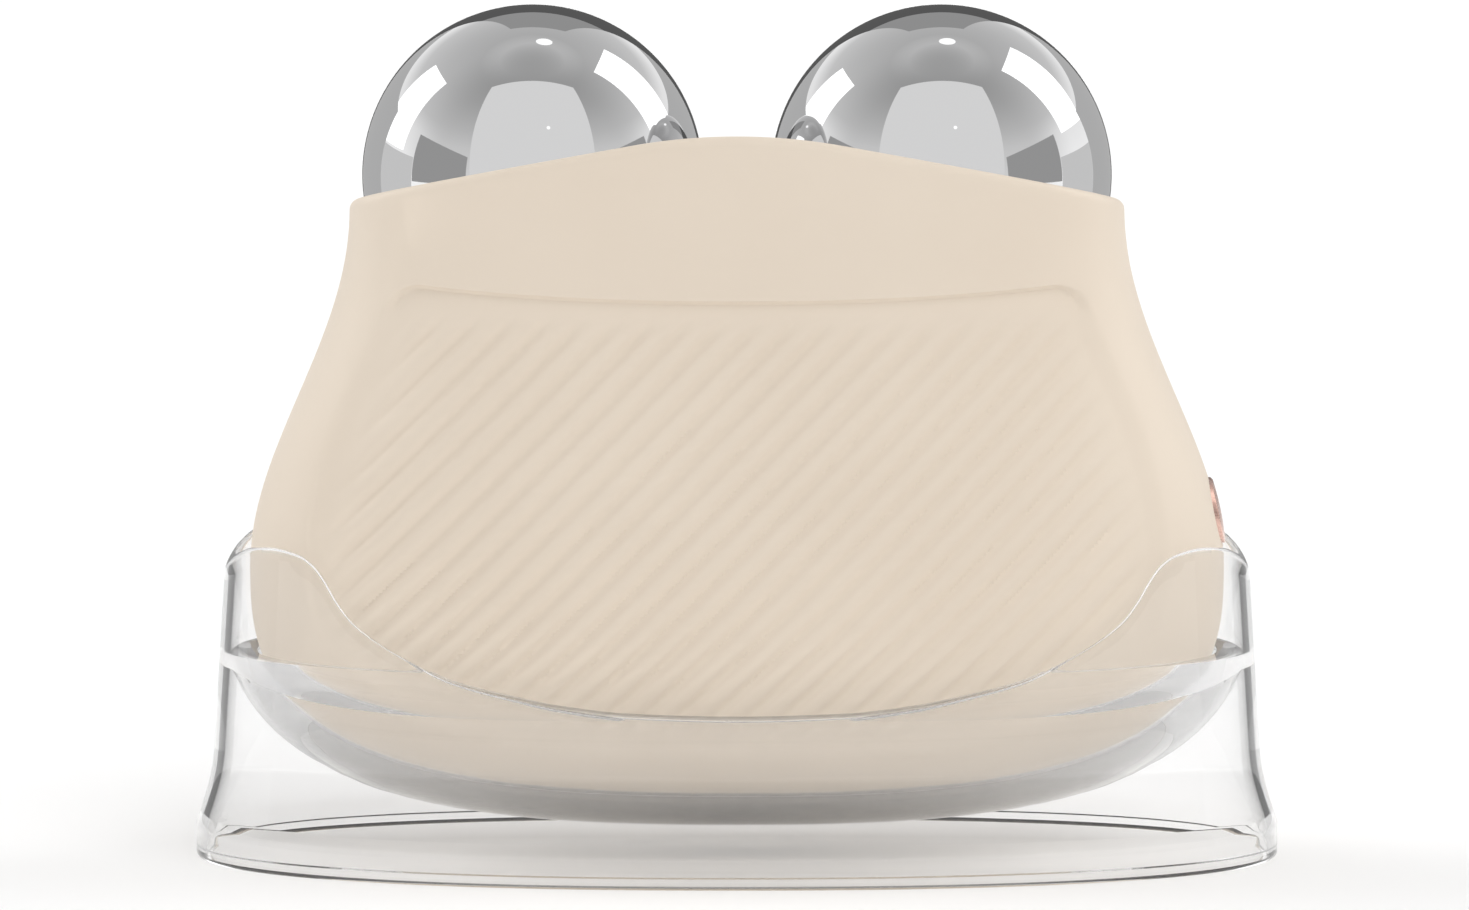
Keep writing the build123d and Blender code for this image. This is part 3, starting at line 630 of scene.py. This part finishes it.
def insideBy(x, z, outline):  # how far each point lies inside the outline, below 0 outside it
    points = np.stack([x, z], 1)
    nearest = np.full(len(points), np.inf)
    within = np.zeros(len(points), bool)
    for a, b in zip(outline, np.roll(outline, -1, 0)):
        run = b - a
        share = np.clip(((points - a) @ run) / (run @ run), 0, 1)
        nearest = np.minimum(nearest, np.hypot(*(points - a - share[:, None] * run).T))
        crossing = (a[1] > points[:, 1]) != (b[1] > points[:, 1])
        with np.errstate(divide="ignore", invalid="ignore"):
            at = a[0] + (points[:, 1] - a[1]) * run[0] / run[1]
        within ^= crossing & (points[:, 0] < at)
    return np.where(within, nearest, -nearest)


def smoothStep(value):
    value = np.clip(value, 0, 1)
    return value * value * (3 - 2 * value)


# Two shares for each vertex: how much of the recess and how much of the ribs it takes
def markGrip(mesh):
    place = np.zeros(len(mesh.vertices) * 3)
    mesh.vertices.foreach_get("co", place)
    x, y, z = place.reshape(-1, 3).T / mm
    recess, ribs = np.zeros(len(x)), np.zeros(len(x))
    face = (y < grip["faceY"]) & (z > grip["faceLowZ"]) & (z < grip["faceHighZ"])
    x, z = x[face], z[face]
    aside = np.abs(x)
    crisp = smoothStep((z - grip["crispFromZ"]) / grip["crispFade"]) * (aside < grip["crispHalfWidth"])
    edge = grip["softEdge"] + (grip["crispEdge"] - grip["softEdge"]) * crisp
    recess[face] = smoothStep(insideBy(x, z, gripOutline()) / edge)
    halfWidth = np.array([deviceHalf(height, 0, "Width") for height in z])
    sides = smoothStep((grip["ribSideShare"] * halfWidth - grip["ribSideGap"] - aside) / grip["ribSideFade"])
    top = smoothStep((grip["ribTopZ"] - z) / grip["ribTopFade"])
    rise = grip["ribLowRise"] * (aside / grip["ribLowHalfWidth"]) ** 3
    low = smoothStep((z - grip["ribLowZ"] - rise) / grip["ribLowFade"])
    ribs[face] = sides * top * low
    for name, values in (("recessShare", recess), ("ribShare", ribs)):
        attribute = mesh.attributes.new(name, "FLOAT", "POINT")
        attribute.data.foreach_set("value", values.astype(np.float32))


# Geometry Nodes that press the recess and the slanting ribs into the shell, along its normals
def ribTree():
    tree = bpy.data.node_groups.new("slantRibs", "GeometryNodeTree")
    tree.interface.new_socket("Geometry", in_out="INPUT", socket_type="NodeSocketGeometry")
    for name in ("Rib Pitch", "Rib Depth", "Rib Slant", "Rib Centre Height", "Recess Depth"):
        tree.interface.new_socket(name, in_out="INPUT", socket_type="NodeSocketFloat")
    tree.interface.new_socket("Material", in_out="INPUT", socket_type="NodeSocketMaterial")
    tree.interface.new_socket("Geometry", in_out="OUTPUT", socket_type="NodeSocketGeometry")
    given = tree.nodes.new("NodeGroupInput").outputs
    output = tree.nodes.new("NodeGroupOutput")
    times = lambda a, b: mathNode(tree, "MULTIPLY", a, b)
    place = tree.nodes.new("GeometryNodeInputPosition")
    axes = tree.nodes.new("ShaderNodeSeparateXYZ")
    tree.links.new(place.outputs["Position"], axes.inputs["Vector"])
    height = mathNode(tree, "SUBTRACT", axes.outputs["Z"], given["Rib Centre Height"])
    rise = times(height, mathNode(tree, "COSINE", given["Rib Slant"]))
    run = times(axes.outputs["X"], mathNode(tree, "SINE", given["Rib Slant"]))
    across = mathNode(tree, "DIVIDE", mathNode(tree, "SUBTRACT", run, rise), given["Rib Pitch"])
    wave = mathNode(tree, "COSINE", times(across, 2 * math.pi))
    valley = mathNode(tree, "POWER", times(mathNode(tree, "ADD", wave, 1.0), 0.5), 2.0)
    shares = []
    for name in ("ribShare", "recessShare"):
        share = tree.nodes.new("GeometryNodeInputNamedAttribute")
        share.data_type = "FLOAT"
        share.inputs["Name"].default_value = name
        shares.append(share.outputs["Attribute"])
    ribs = times(times(valley, given["Rib Depth"]), shares[0])
    recess = times(given["Recess Depth"], shares[1])
    inwards = times(mathNode(tree, "ADD", ribs, recess), -1.0)
    normal = tree.nodes.new("GeometryNodeInputNormal")
    shift = tree.nodes.new("ShaderNodeVectorMath")
    shift.operation = "SCALE"
    tree.links.new(normal.outputs["Normal"], shift.inputs["Vector"])
    tree.links.new(inwards, shift.inputs["Scale"])
    press = tree.nodes.new("GeometryNodeSetPosition")
    tree.links.new(given["Geometry"], press.inputs["Geometry"])
    tree.links.new(shift.outputs["Vector"], press.inputs["Offset"])
    finishTree(tree, press.outputs["Geometry"], given["Material"], output)
    return tree


def finishTree(tree, geometry, material, output):
    realize = tree.nodes.new("GeometryNodeRealizeInstances")
    finish = tree.nodes.new("GeometryNodeSetMaterial")
    tree.links.new(geometry, realize.inputs["Geometry"])
    tree.links.new(realize.outputs["Geometry"], finish.inputs["Geometry"])
    tree.links.new(material, finish.inputs["Material"])
    tree.links.new(finish.outputs["Geometry"], output.inputs["Geometry"])


def addNodes(piece, tree, values):
    modifier = piece.modifiers.new(tree.name, "NODES")
    modifier.node_group = tree
    for socket in tree.interface.items_tree:
        if socket.in_out == "INPUT" and socket.name in values:
            modifier[socket.identifier] = values[socket.name]


def cutAway(piece, cutters):
    for cutter in cutters:
        modifier = piece.modifiers.new("cut", "BOOLEAN")
        modifier.operation = "DIFFERENCE"
        modifier.solver = "MANIFOLD"
        modifier.object = cutter


# The evaluated object as a plain mesh. The objects that made it are removed.
def plainMesh(piece, name, degrees, cutters):
    bpy.context.view_layer.update()
    mesh = bpy.data.meshes.new_from_object(piece.evaluated_get(bpy.context.evaluated_depsgraph_get()))
    mesh.name = name
    for spent in (piece, *cutters):
        bpy.data.objects.remove(spent)
    shadeByAngle(mesh, degrees)
    return mesh


# A closed block between two copies of an outline. place turns (a, b, depth) into x, y, z.
def prism(name, outline, start, end, place):
    rows = [[place(a, b, depth) for a, b in outline] for depth in (start, end)]
    return placeObject(name, gridMesh(name, [[place(0, 0, start)], *rows, [place(0, 0, end)]]))


covers = {
    "wall": 1.8, "deckWall": 2.2, "seamY": 6.0, "seamDrop": 5.0, "sphereGap": 0.2,
    "roomFarY": 30.0, "roomHalfWidth": 45, "roomMiddleZ": 20, "roomSteps": 60,
    "socketStepsOver": 60, "socketStepsRound": 120, "slotCornerSteps": 16,
    "cavityBendZ": 20, "cavityTopZ": 50, "cavityKeelSteps": 12, "cavitySteps": 24, "cavityStepsRound": 120,
}


def slotOutline(halfLength, halfHeight, radius):
    points = []
    for corner, (a, b) in enumerate(((1, 1), (-1, 1), (-1, -1), (1, -1))):
        for t in between(corner * math.pi / 2, (corner + 1) * math.pi / 2, covers["slotCornerSteps"]):
            points.append((a * (halfLength - radius) + radius * math.cos(t),
                           b * (halfHeight - radius) + radius * math.sin(t)))
    kept = []
    for point in points:
        if not kept or math.dist(point, kept[-1]) > tiny:
            kept.append(point)
    if math.dist(kept[0], kept[-1]) < tiny:
        kept.pop()
    return kept


# The block that the front cover fills: in front of the seam and under the deck's edge
def frontRoom():
    near, far, half = covers["seamY"], covers["roomFarY"], covers["roomHalfWidth"]
    rows = []
    for x in between(-half, half, covers["roomSteps"]):
        nearTop, farTop = (deckHeight(x, y, covers["seamDrop"]) for y in (near, far))
        rows.append([(x, near, 0), (x, near, nearTop), (x, far, farTop), (x, far, 0)])
    left, right = ([(x, (near + far) / 2, covers["roomMiddleZ"])] for x in (-half, half))
    return placeObject("frontRoom", gridMesh("frontRoom", [left, *rows, right]))


def socketBall(side):
    radius, x = sphere["radius"] + covers["sphereGap"], side * sphere["x"]
    rows = []
    for over in between(0, math.pi, covers["socketStepsOver"]):
        ring = radius * math.sin(over)
        height = sphere["z"] + radius * math.cos(over)
        if ring < tiny:
            rows.append([(x, 0, height)])
        else:
            rows.append([(x + ring * math.cos(t), ring * math.sin(t), height)
                         for t in roundTurns(covers["socketStepsRound"])])
    return placeObject("socketBall", gridMesh("socketBall", rows))


def cavityForm():
    heights = keelHeights(covers["wall"], covers["cavityBendZ"], covers["cavityKeelSteps"])
    heights += between(covers["cavityBendZ"], covers["cavityTopZ"], covers["cavitySteps"])[1:]
    turns = roundTurns(covers["cavityStepsRound"])
    angles = ovalAngles(turns, device["bellyHalfWidth"], device["bellyHalfDepth"])
    return placeObject("cavity", bodyForm("cavity", angles, heights, covers["wall"], covers["deckWall"]))


boost = {"y": 1.0, "z": 26.4, "length": 8.4, "height": 4.6, "clearance": 0.2,
         "holeStartX": 32, "holeEndX": 40}
port = {"y": -1.0, "length": 8.3, "width": 3.5, "radius": 1.2, "below": 1, "above": 3}


# The rows of the rear cover's mesh, which are closest over the grip and at its recess's top edge
rearRows = {
    "flankSteps": 14, "frontSteps": 80, "keelZ": 9, "keelSteps": 12, "gripEndZ": 44.6, "gripSteps": 132,
    "edgeLifts": (-0.38, -0.3, -0.22, -0.15, -0.08, 0.0, 0.1),
    "neckStartZ": 45.5, "neckEndZ": 54, "neckSteps": 14,
    "arcFromZ": 38, "arcFade": 6, "arcEndZ": 50, "arcEndFade": 4,
}


def followGripTop(angle, z):  # moves a row near the recess's top edge, so that it follows the edge's arc
    if math.sin(angle) > 0:
        return z
    x = deviceRadius(angle, grip["topZ"]) * math.cos(angle)
    rising = max((z - rearRows["arcFromZ"]) / rearRows["arcFade"], 0)
    falling = max((rearRows["arcEndZ"] - z) / rearRows["arcEndFade"], 0)
    return z + (gripTopLine(x) - grip["topZ"]) * min(rising, falling, 1)


def rearCoverForm():
    reach, flankSteps = grip["reach"], rearRows["flankSteps"]
    rear = [beltAngle(x, -1) for x in np.linspace(-reach, reach, int(2 * reach / grip["meshStep"]))]
    rightSide = between(rear[-1], 0, flankSteps)[1:]
    front = ovalAngles(between(0, math.pi, rearRows["frontSteps"])[1:], device["bellyHalfWidth"],
                       device["bellyHalfDepth"])
    leftSide = between(-math.pi, rear[0], flankSteps)[1:-1]
    heights = keelHeights(0, rearRows["keelZ"], rearRows["keelSteps"])
    heights += between(rearRows["keelZ"], rearRows["gripEndZ"], rearRows["gripSteps"])[1:]
    heights += [grip["topZ"] + lift for lift in rearRows["edgeLifts"]]
    heights += between(rearRows["neckStartZ"], rearRows["neckEndZ"], rearRows["neckSteps"])
    return bodyForm("rearCover", rear + rightSide + front + leftSide, heights, warp=followGripTop)


def buildRearCover():
    mesh = rearCoverForm()
    markGrip(mesh)
    piece = placeObject("rearCover", mesh)
    addNodes(piece, ribTree(), {
        "Rib Pitch": grip["ribPitch"] * mm, "Rib Depth": grip["ribDepth"] * mm,
        "Rib Slant": math.radians(grip["slant"]), "Rib Centre Height": grip["ribCentreZ"] * mm,
        "Recess Depth": grip["recessDepth"] * mm, "Material": finishes["cream_plastic"]})
    halfLength, halfHeight = (boost[size] / 2 + boost["clearance"] for size in ("length", "height"))
    boostHole = prism("boostHole", slotOutline(halfLength, halfHeight, halfHeight),
                      boost["holeStartX"], boost["holeEndX"],
                      lambda a, b, x: (x, boost["y"] + a, boost["z"] + b))
    portHole = prism("portHole", slotOutline(port["length"] / 2, port["width"] / 2, port["radius"]),
                     device["floorZ"] - port["below"], device["floorZ"] + port["above"],
                     lambda a, b, z: (a, port["y"] + b, z))
    cutters = [cavityForm(), frontRoom(), socketBall(-1), socketBall(1), boostHole, portHole]
    cutAway(piece, cutters)
    mesh = plainMesh(piece, "rear_shell", creaseAngles["cover"], cutters)
    print("rear cover:", len(mesh.polygons), "faces")
    makePiece("rear_shell", mesh, "rear_cover")


buildRearCover()

# Where the front cover's copy takes its shading from the device's form
formShading = {"aboveFloor": 0.5, "topZ": 53, "step": 0.01, "nearEnough": 0.03, "leastAgreement": 0.9}


def formGap(x, y, z):  # how far outside the device's form a point is
    return math.hypot(x, y) - deviceRadius(math.atan2(y, x), z)


def formNormal(place):  # which way the form faces at a point on it, else nothing
    x, y, z = place / mm
    if z < device["floorZ"] + formShading["aboveFloor"] or z > formShading["topZ"]:
        return None
    here, step = formGap(x, y, z), formShading["step"]
    if abs(here) > formShading["nearEnough"]:
        return None
    steps = (formGap(x + step, y, z), formGap(x, y + step, z), formGap(x, y, z + step))
    return Vector([there - here for there in steps]).normalized()


# Takes the outer skin's shading from the form itself, so that no hole's rim drags it
def shadeByForm(mesh):
    facing = [formNormal(vertex.co) for vertex in mesh.vertices]
    normals = [Vector(corner.vector) for corner in mesh.corner_normals]
    for polygon in mesh.polygons:
        for corner in polygon.loop_indices:
            wanted = facing[mesh.loops[corner].vertex_index]
            if wanted and wanted.dot(polygon.normal) > formShading["leastAgreement"]:
                normals[corner] = wanted
    mesh.normals_split_custom_set(normals)


shadeByForm(smoothCopy("front_cover").data)
for node in ("power_button", "power_button_bezel", "indicator_lens", "boost_button", "charge_port"):
    smoothCopy(node)
print("covers and buttons dressed")

# Finishes for the CAD pieces that stay as they are
for part in frame["record"]["subparts"]:
    carried = frame["nodes"][part["node"]]
    if not carried.hide_render:
        carried.data.materials.clear()
        carried.data.materials.append(finishes[part["material_slot"]])

# The studio
studio = {
    # The floor's deep grey is painted shade, shown only for rays that the glass folded
    "floorHalf": 6.0, "floorWhite": 0.9, "paintedShadeGrey": 0.56, "floorLift": 0.05,
    # The lift under the stand is painted light, a glowing pool on the floor
    "underStandPaintedLight": 0.2, "underStandNarrowing": 4.0, "mostCrossings": 2.5,
    "skyStrength": 0.64, "nearEndY": -0.4, "farStartY": 0.3,
    "nearGreys": [(0.0, 0.7), (0.34, 0.6), (0.5, 0.5), (0.75, 0.38), (0.88, 0.33), (1.0, 0.33)],
    "farGreys": [(0.0, 1.0), (0.36, 0.84), (0.5, 0.6), (0.75, 0.5), (0.9, 0.45), (0.96, 0.52), (1.0, 0.4)],
    "glassGreys": [(0.0, 1.0), (0.01, 1.0), (0.04, 0.03), (0.45, 0.05), (0.85, 0.1), (1.0, 0.4)],
}
noBounce = 0.5  # a ray's depth above this means at least one bounce


def direction(azimuth, elevation):  # azimuth 0 is towards the camera's side, 90 to the right
    a, e = math.radians(azimuth), math.radians(elevation)
    return Vector((math.sin(a) * math.cos(e), -math.cos(a) * math.cos(e), math.sin(e)))


def emission(name, strength):
    material = bpy.data.materials.new(name)
    material.use_nodes = True
    tree = material.node_tree
    tree.nodes.clear()
    glow = tree.nodes.new("ShaderNodeEmission")
    output = tree.nodes.new("ShaderNodeOutputMaterial")
    setSockets(glow, {"Color": (1, 1, 1, 1), "Strength": strength})
    tree.links.new(glow.outputs["Emission"], output.inputs["Surface"])
    return material


# Black for rays that the glass has folded back inside itself, and clear for all others
def edgeBlack():
    material = emission("edgeBlack", 0.0)
    tree = material.node_tree
    path = tree.nodes.new("ShaderNodeLightPath")
    clear = tree.nodes.new("ShaderNodeBsdfTransparent")
    folded = mathNode(tree, "GREATER_THAN", path.outputs["Glossy Depth"], noBounce)
    shown = mixShaders(tree, folded, clear.outputs["BSDF"], tree.nodes["Emission"].outputs["Emission"])
    tree.links.new(shown, tree.nodes["Material Output"].inputs["Surface"])
    return material


# A flat card that only reflections show, or without a grey, a flag that only refraction shows
def studioCard(name, corners, grey=None):
    data = bpy.data.meshes.new(name)
    data.from_pydata(corners, [], [tuple(range(len(corners)))])
    card = placeObject(name, data)
    data.materials.append(edgeBlack() if grey is None else emission(name, grey))
    card.visible_camera = card.visible_diffuse = card.visible_shadow = False
    card.visible_glossy = grey is not None
    card.visible_transmission = grey is None


cards = {"distance": 0.9, "level": 0.052, "lampDistance": 0.81, "lampGrey": 1.2, "lampSteps": 32}


# Far cards stand in front, or at the side that is -1 or 1. low and high are its edges' (start, end,
# height), in shares of the distance.
def farCard(name, low, high, grey, side=0):
    reach, level = cards["distance"], cards["level"]
    corners = []
    for along, height in ((low[0], low[2]), (low[1], low[2]), (high[1], high[2]), (high[0], high[2])):
        x, y = (side, along) if side else (along, -1)
        corners.append((x * reach, y * reach, level + height * reach))
    studioCard(name, corners, grey)


# Near cards stand upright from start to end, in metres, mirrored where side is -1
def nearCard(name, start, end, heights, grey=None, side=1):
    (startX, startY), (endX, endY), (low, high) = start, end, heights
    studioCard(name, [(side * startX, startY, low), (side * endX, endY, low),
                      (side * endX, endY, high), (side * startX, startY, high)], grey)


# A round lamp head in one direction, seen in the spheres as a small light
def lampCard(name, azimuth, elevation, halfAngle):
    out = direction(azimuth, elevation)
    across = out.orthogonal().normalized()
    upright = out.cross(across)
    centre = out * cards["lampDistance"] + Vector((0, 0, cards["level"]))
    radius = cards["lampDistance"] * math.tan(math.radians(halfAngle))
    studioCard(name, [centre + (across * math.cos(t) + upright * math.sin(t)) * radius
                      for t in roundTurns(cards["lampSteps"])], cards["lampGrey"])


frontPanel = {"low": (-0.93, 0.93, 0.05), "high": (-1.38, 1.38, 3.07), "grey": 0.72}
backdrops = {
    "darkBackdrop": {"start": (-0.09, 0.3), "end": (0.09, 0.3), "heights": (0.001, 0.24), "grey": 0.1},
    "darkBackdropTop": {"start": (-0.09, 0.3), "end": (0.09, 0.3), "heights": (0.24, 0.5), "grey": 0.3},
}
mirroredCards = {
    "RearSweep": {"start": (0.091, 0.3), "end": (0.28, 0.17), "heights": (0.001, 0.16), "grey": 0.45},
    "Sweep": {"start": (0.281, 0.17), "end": (0.30, -0.01), "heights": (0.001, 0.095), "grey": 0.6},
    "EdgeFlag": {"start": (0.056, 0.041), "end": (0.078, 0.028), "heights": (0.001, 0.03)},
}
sideCards = {
    "leftSoftbox": {"side": -1, "low": (0.19, 0.86, 0.17), "high": (0.19, 0.86, 1.03), "grey": 1.5},
    "rightSoftbox": {"side": 1, "low": (0.12, 0.67, 0.33), "high": (0.12, 1.15, 1.7), "grey": 1.5},
    "leftFlag": {"side": -1, "low": (-0.97, -0.02, -0.05), "high": (-0.97, -0.02, 0.36), "grey": 0.32},
    "rightFlag": {"side": 1, "low": (-0.97, -0.02, -0.05), "high": (-0.97, -0.02, 0.36), "grey": 0.32},
}
lampHeads = {
    "rearLamp": {"azimuth": 168, "elevation": 72, "halfAngle": 3.5},
    "frontLamp": {"azimuth": 12, "elevation": 37, "halfAngle": 1.2},
}

farCard("frontPanel", **frontPanel)
for name, values in backdrops.items():
    nearCard(name, **values)
for side, sideName in ((-1, "left"), (1, "right")):
    for name, values in mirroredCards.items():
        nearCard(sideName + name, **values, side=side)
for name, values in sideCards.items():
    farCard(name, **values)
for name, values in lampHeads.items():
    lampCard(name, **values)


def positionAxes(tree, output):
    place = tree.nodes.new("ShaderNodeTexCoord")
    axes = tree.nodes.new("ShaderNodeSeparateXYZ")
    tree.links.new(place.outputs[output], axes.inputs["Vector"])
    return axes.outputs


def floorPaper():
    material, tree, shader = newFinish("floorPaper")
    setSockets(shader, {"Roughness": 1.0, "Specular IOR Level": 0.0, "Emission Color": (1, 1, 1, 1)})
    path = tree.nodes.new("ShaderNodeLightPath")
    refracted = path.outputs["Is Transmission Ray"]
    times = lambda a, b: mathNode(tree, "MULTIPLY", a, b)
    minus = lambda a, b: mathNode(tree, "SUBTRACT", a, b)
    # Painted shade: the floor turns dark grey for rays that the glass folded and refracted, darkening what
    # the bowl shows
    folded = mathNode(tree, "GREATER_THAN", path.outputs["Glossy Depth"], noBounce)
    paintedShade = times(folded, refracted)
    twoTones(tree, shader, paintedShade, [studio["floorWhite"]] * 3, [studio["paintedShadeGrey"]] * 3)

    axes = positionAxes(tree, "Object")
    across, along = (mathNode(tree, "POWER", mathNode(tree, "DIVIDE", axes[axis], stand[half] * mm), 2.0)
                     for axis, half in (("X", "halfWidth"), ("Y", "halfDepth")))
    inside = mathNode(tree, "LESS_THAN", mathNode(tree, "ADD", across, along), 1.0)
    outside = minus(1.0, inside)
    clearly = times(refracted, outside)
    seen = mathNode(tree, "MAXIMUM", path.outputs["Is Camera Ray"], clearly)
    lift = times(seen, studio["floorLift"])

    # Painted light: a brighter, glowing middle on the floor under the stand, for rays that crossed its wall
    # and weren't folded in it
    crossed = mathNode(tree, "LESS_THAN", path.outputs["Transmission Depth"], studio["mostCrossings"])
    crossed = times(crossed, minus(1.0, folded))
    through = times(refracted, times(inside, crossed))
    narrowed = times(along, studio["underStandNarrowing"])
    middle = minus(minus(1.0, across), narrowed)
    middle = times(mathNode(tree, "MAXIMUM", middle, 0.0), studio["underStandPaintedLight"])
    under = times(through, middle)
    tree.links.new(mathNode(tree, "ADD", lift, under), shader.inputs["Emission Strength"])
    return material


def makeFloor():
    half = studio["floorHalf"]
    mesh = bpy.data.meshes.new("floor")
    corners = [(-half, -half, 0), (half, -half, 0), (half, half, 0), (-half, half, 0)]
    mesh.from_pydata(corners, [], [(0, 1, 2, 3)])
    mesh.materials.append(floorPaper())
    floor = placeObject("floor", mesh)
    floor.visible_shadow = False  # lets the table's bounce, a lamp below it, reach the device


def greyRamp(tree, factor, stops):
    ramp = tree.nodes.new("ShaderNodeValToRGB")
    elements = ramp.color_ramp.elements
    for _ in stops[2:]:
        elements.new(0.5)
    for element, (position, _) in zip(elements, stops):
        element.position = position
    for element, (_, grey) in zip(elements, stops):
        element.color = (grey, grey, grey, 1)
    tree.links.new(factor, ramp.inputs["Fac"])
    return ramp.outputs["Color"]


def background(tree, colour, strength=1.0):
    node = tree.nodes.new("ShaderNodeBackground")
    setSockets(node, {"Color": (1, 1, 1, 1), "Strength": strength})
    if colour is not None:
        tree.links.new(colour, node.inputs["Color"])
    return node.outputs["Background"]


def makeWorld():
    world = bpy.data.worlds.new("studioWorld")
    bpy.context.scene.world = world
    world.use_nodes = True
    tree = world.node_tree
    tree.nodes.clear()
    output = tree.nodes.new("ShaderNodeOutputWorld")
    path = tree.nodes.new("ShaderNodeLightPath")
    axes = positionAxes(tree, "Generated")
    behind = tree.nodes.new("ShaderNodeMapRange")
    behind.interpolation_type = "SMOOTHSTEP"
    setSockets(behind, {"From Min": studio["nearEndY"], "From Max": studio["farStartY"],
                        "To Min": 0.0, "To Max": 1.0})
    tree.links.new(axes["Y"], behind.inputs["Value"])
    near, far, refracted = (background(tree, greyRamp(tree, axes["Z"], studio[greys]))
                            for greys in ("nearGreys", "farGreys", "glassGreys"))
    mirrored = mixShaders(tree, behind.outputs["Result"], near, far)
    sky = background(tree, None, studio["skyStrength"])
    seen = background(tree, None)
    afterDiffuse = mathNode(tree, "GREATER_THAN", path.outputs["Diffuse Depth"], noBounce)
    # Refracted rays count as glossy too, so what they meet is mixed in after that
    shown = mixShaders(tree, path.outputs["Is Glossy Ray"], sky, mirrored)
    shown = mixShaders(tree, path.outputs["Is Transmission Ray"], shown, refracted)
    shown = mixShaders(tree, afterDiffuse, shown, sky)
    shown = mixShaders(tree, path.outputs["Is Camera Ray"], shown, seen)
    tree.links.new(shown, output.inputs["Surface"])


suns = {
    "keySun": {"azimuth": 30, "elevation": 50, "spreadAngle": 40, "strength": 0.9},
    "tableBounce": {"azimuth": 0, "elevation": -30, "spreadAngle": 90, "strength": 0.9},
    "leftSun": {"azimuth": -112, "elevation": 25, "spreadAngle": 40, "strength": 1.0},
    "rightSun": {"azimuth": 108, "elevation": 30, "spreadAngle": 40, "strength": 0.75},
}


def softSun(name, azimuth, elevation, spreadAngle, strength):
    data = bpy.data.lights.new(name, "SUN")
    data.angle = math.radians(spreadAngle)
    data.energy = strength
    lamp = placeObject(name, data)
    lamp.rotation_mode = "QUATERNION"
    lamp.rotation_quaternion = (-direction(azimuth, elevation)).to_track_quat("-Z", "Y")
    lamp.visible_glossy = lamp.visible_transmission = lamp.visible_camera = False


view = {"frameWidth": 112.3, "sensor": 36.0, "distance": 1500.0, "elevation": 6.3, "aim": (-0.19, 0, 30.73),
        "clipStart": 0.05, "clipEnd": 50}


def makeCamera():
    data = bpy.data.cameras.new("camera")
    camera = placeObject("camera", data)
    data.sensor_width = view["sensor"]
    data.lens = view["sensor"] * view["distance"] / view["frameWidth"]
    data.clip_start, data.clip_end = view["clipStart"], view["clipEnd"]
    tilt = math.radians(view["elevation"])
    back = Vector((0, -math.cos(tilt), math.sin(tilt)))
    camera.location = (Vector(view["aim"]) + back * view["distance"]) * mm
    camera.rotation_mode = "QUATERNION"
    camera.rotation_quaternion = (-back).to_track_quat("-Z", "Y")
    bpy.context.scene.camera = camera


makeFloor()
makeWorld()
for name, values in suns.items():
    softSun(name, **values)
makeCamera()
bpy.context.scene.view_settings.view_transform = "Standard"
print("studio made")
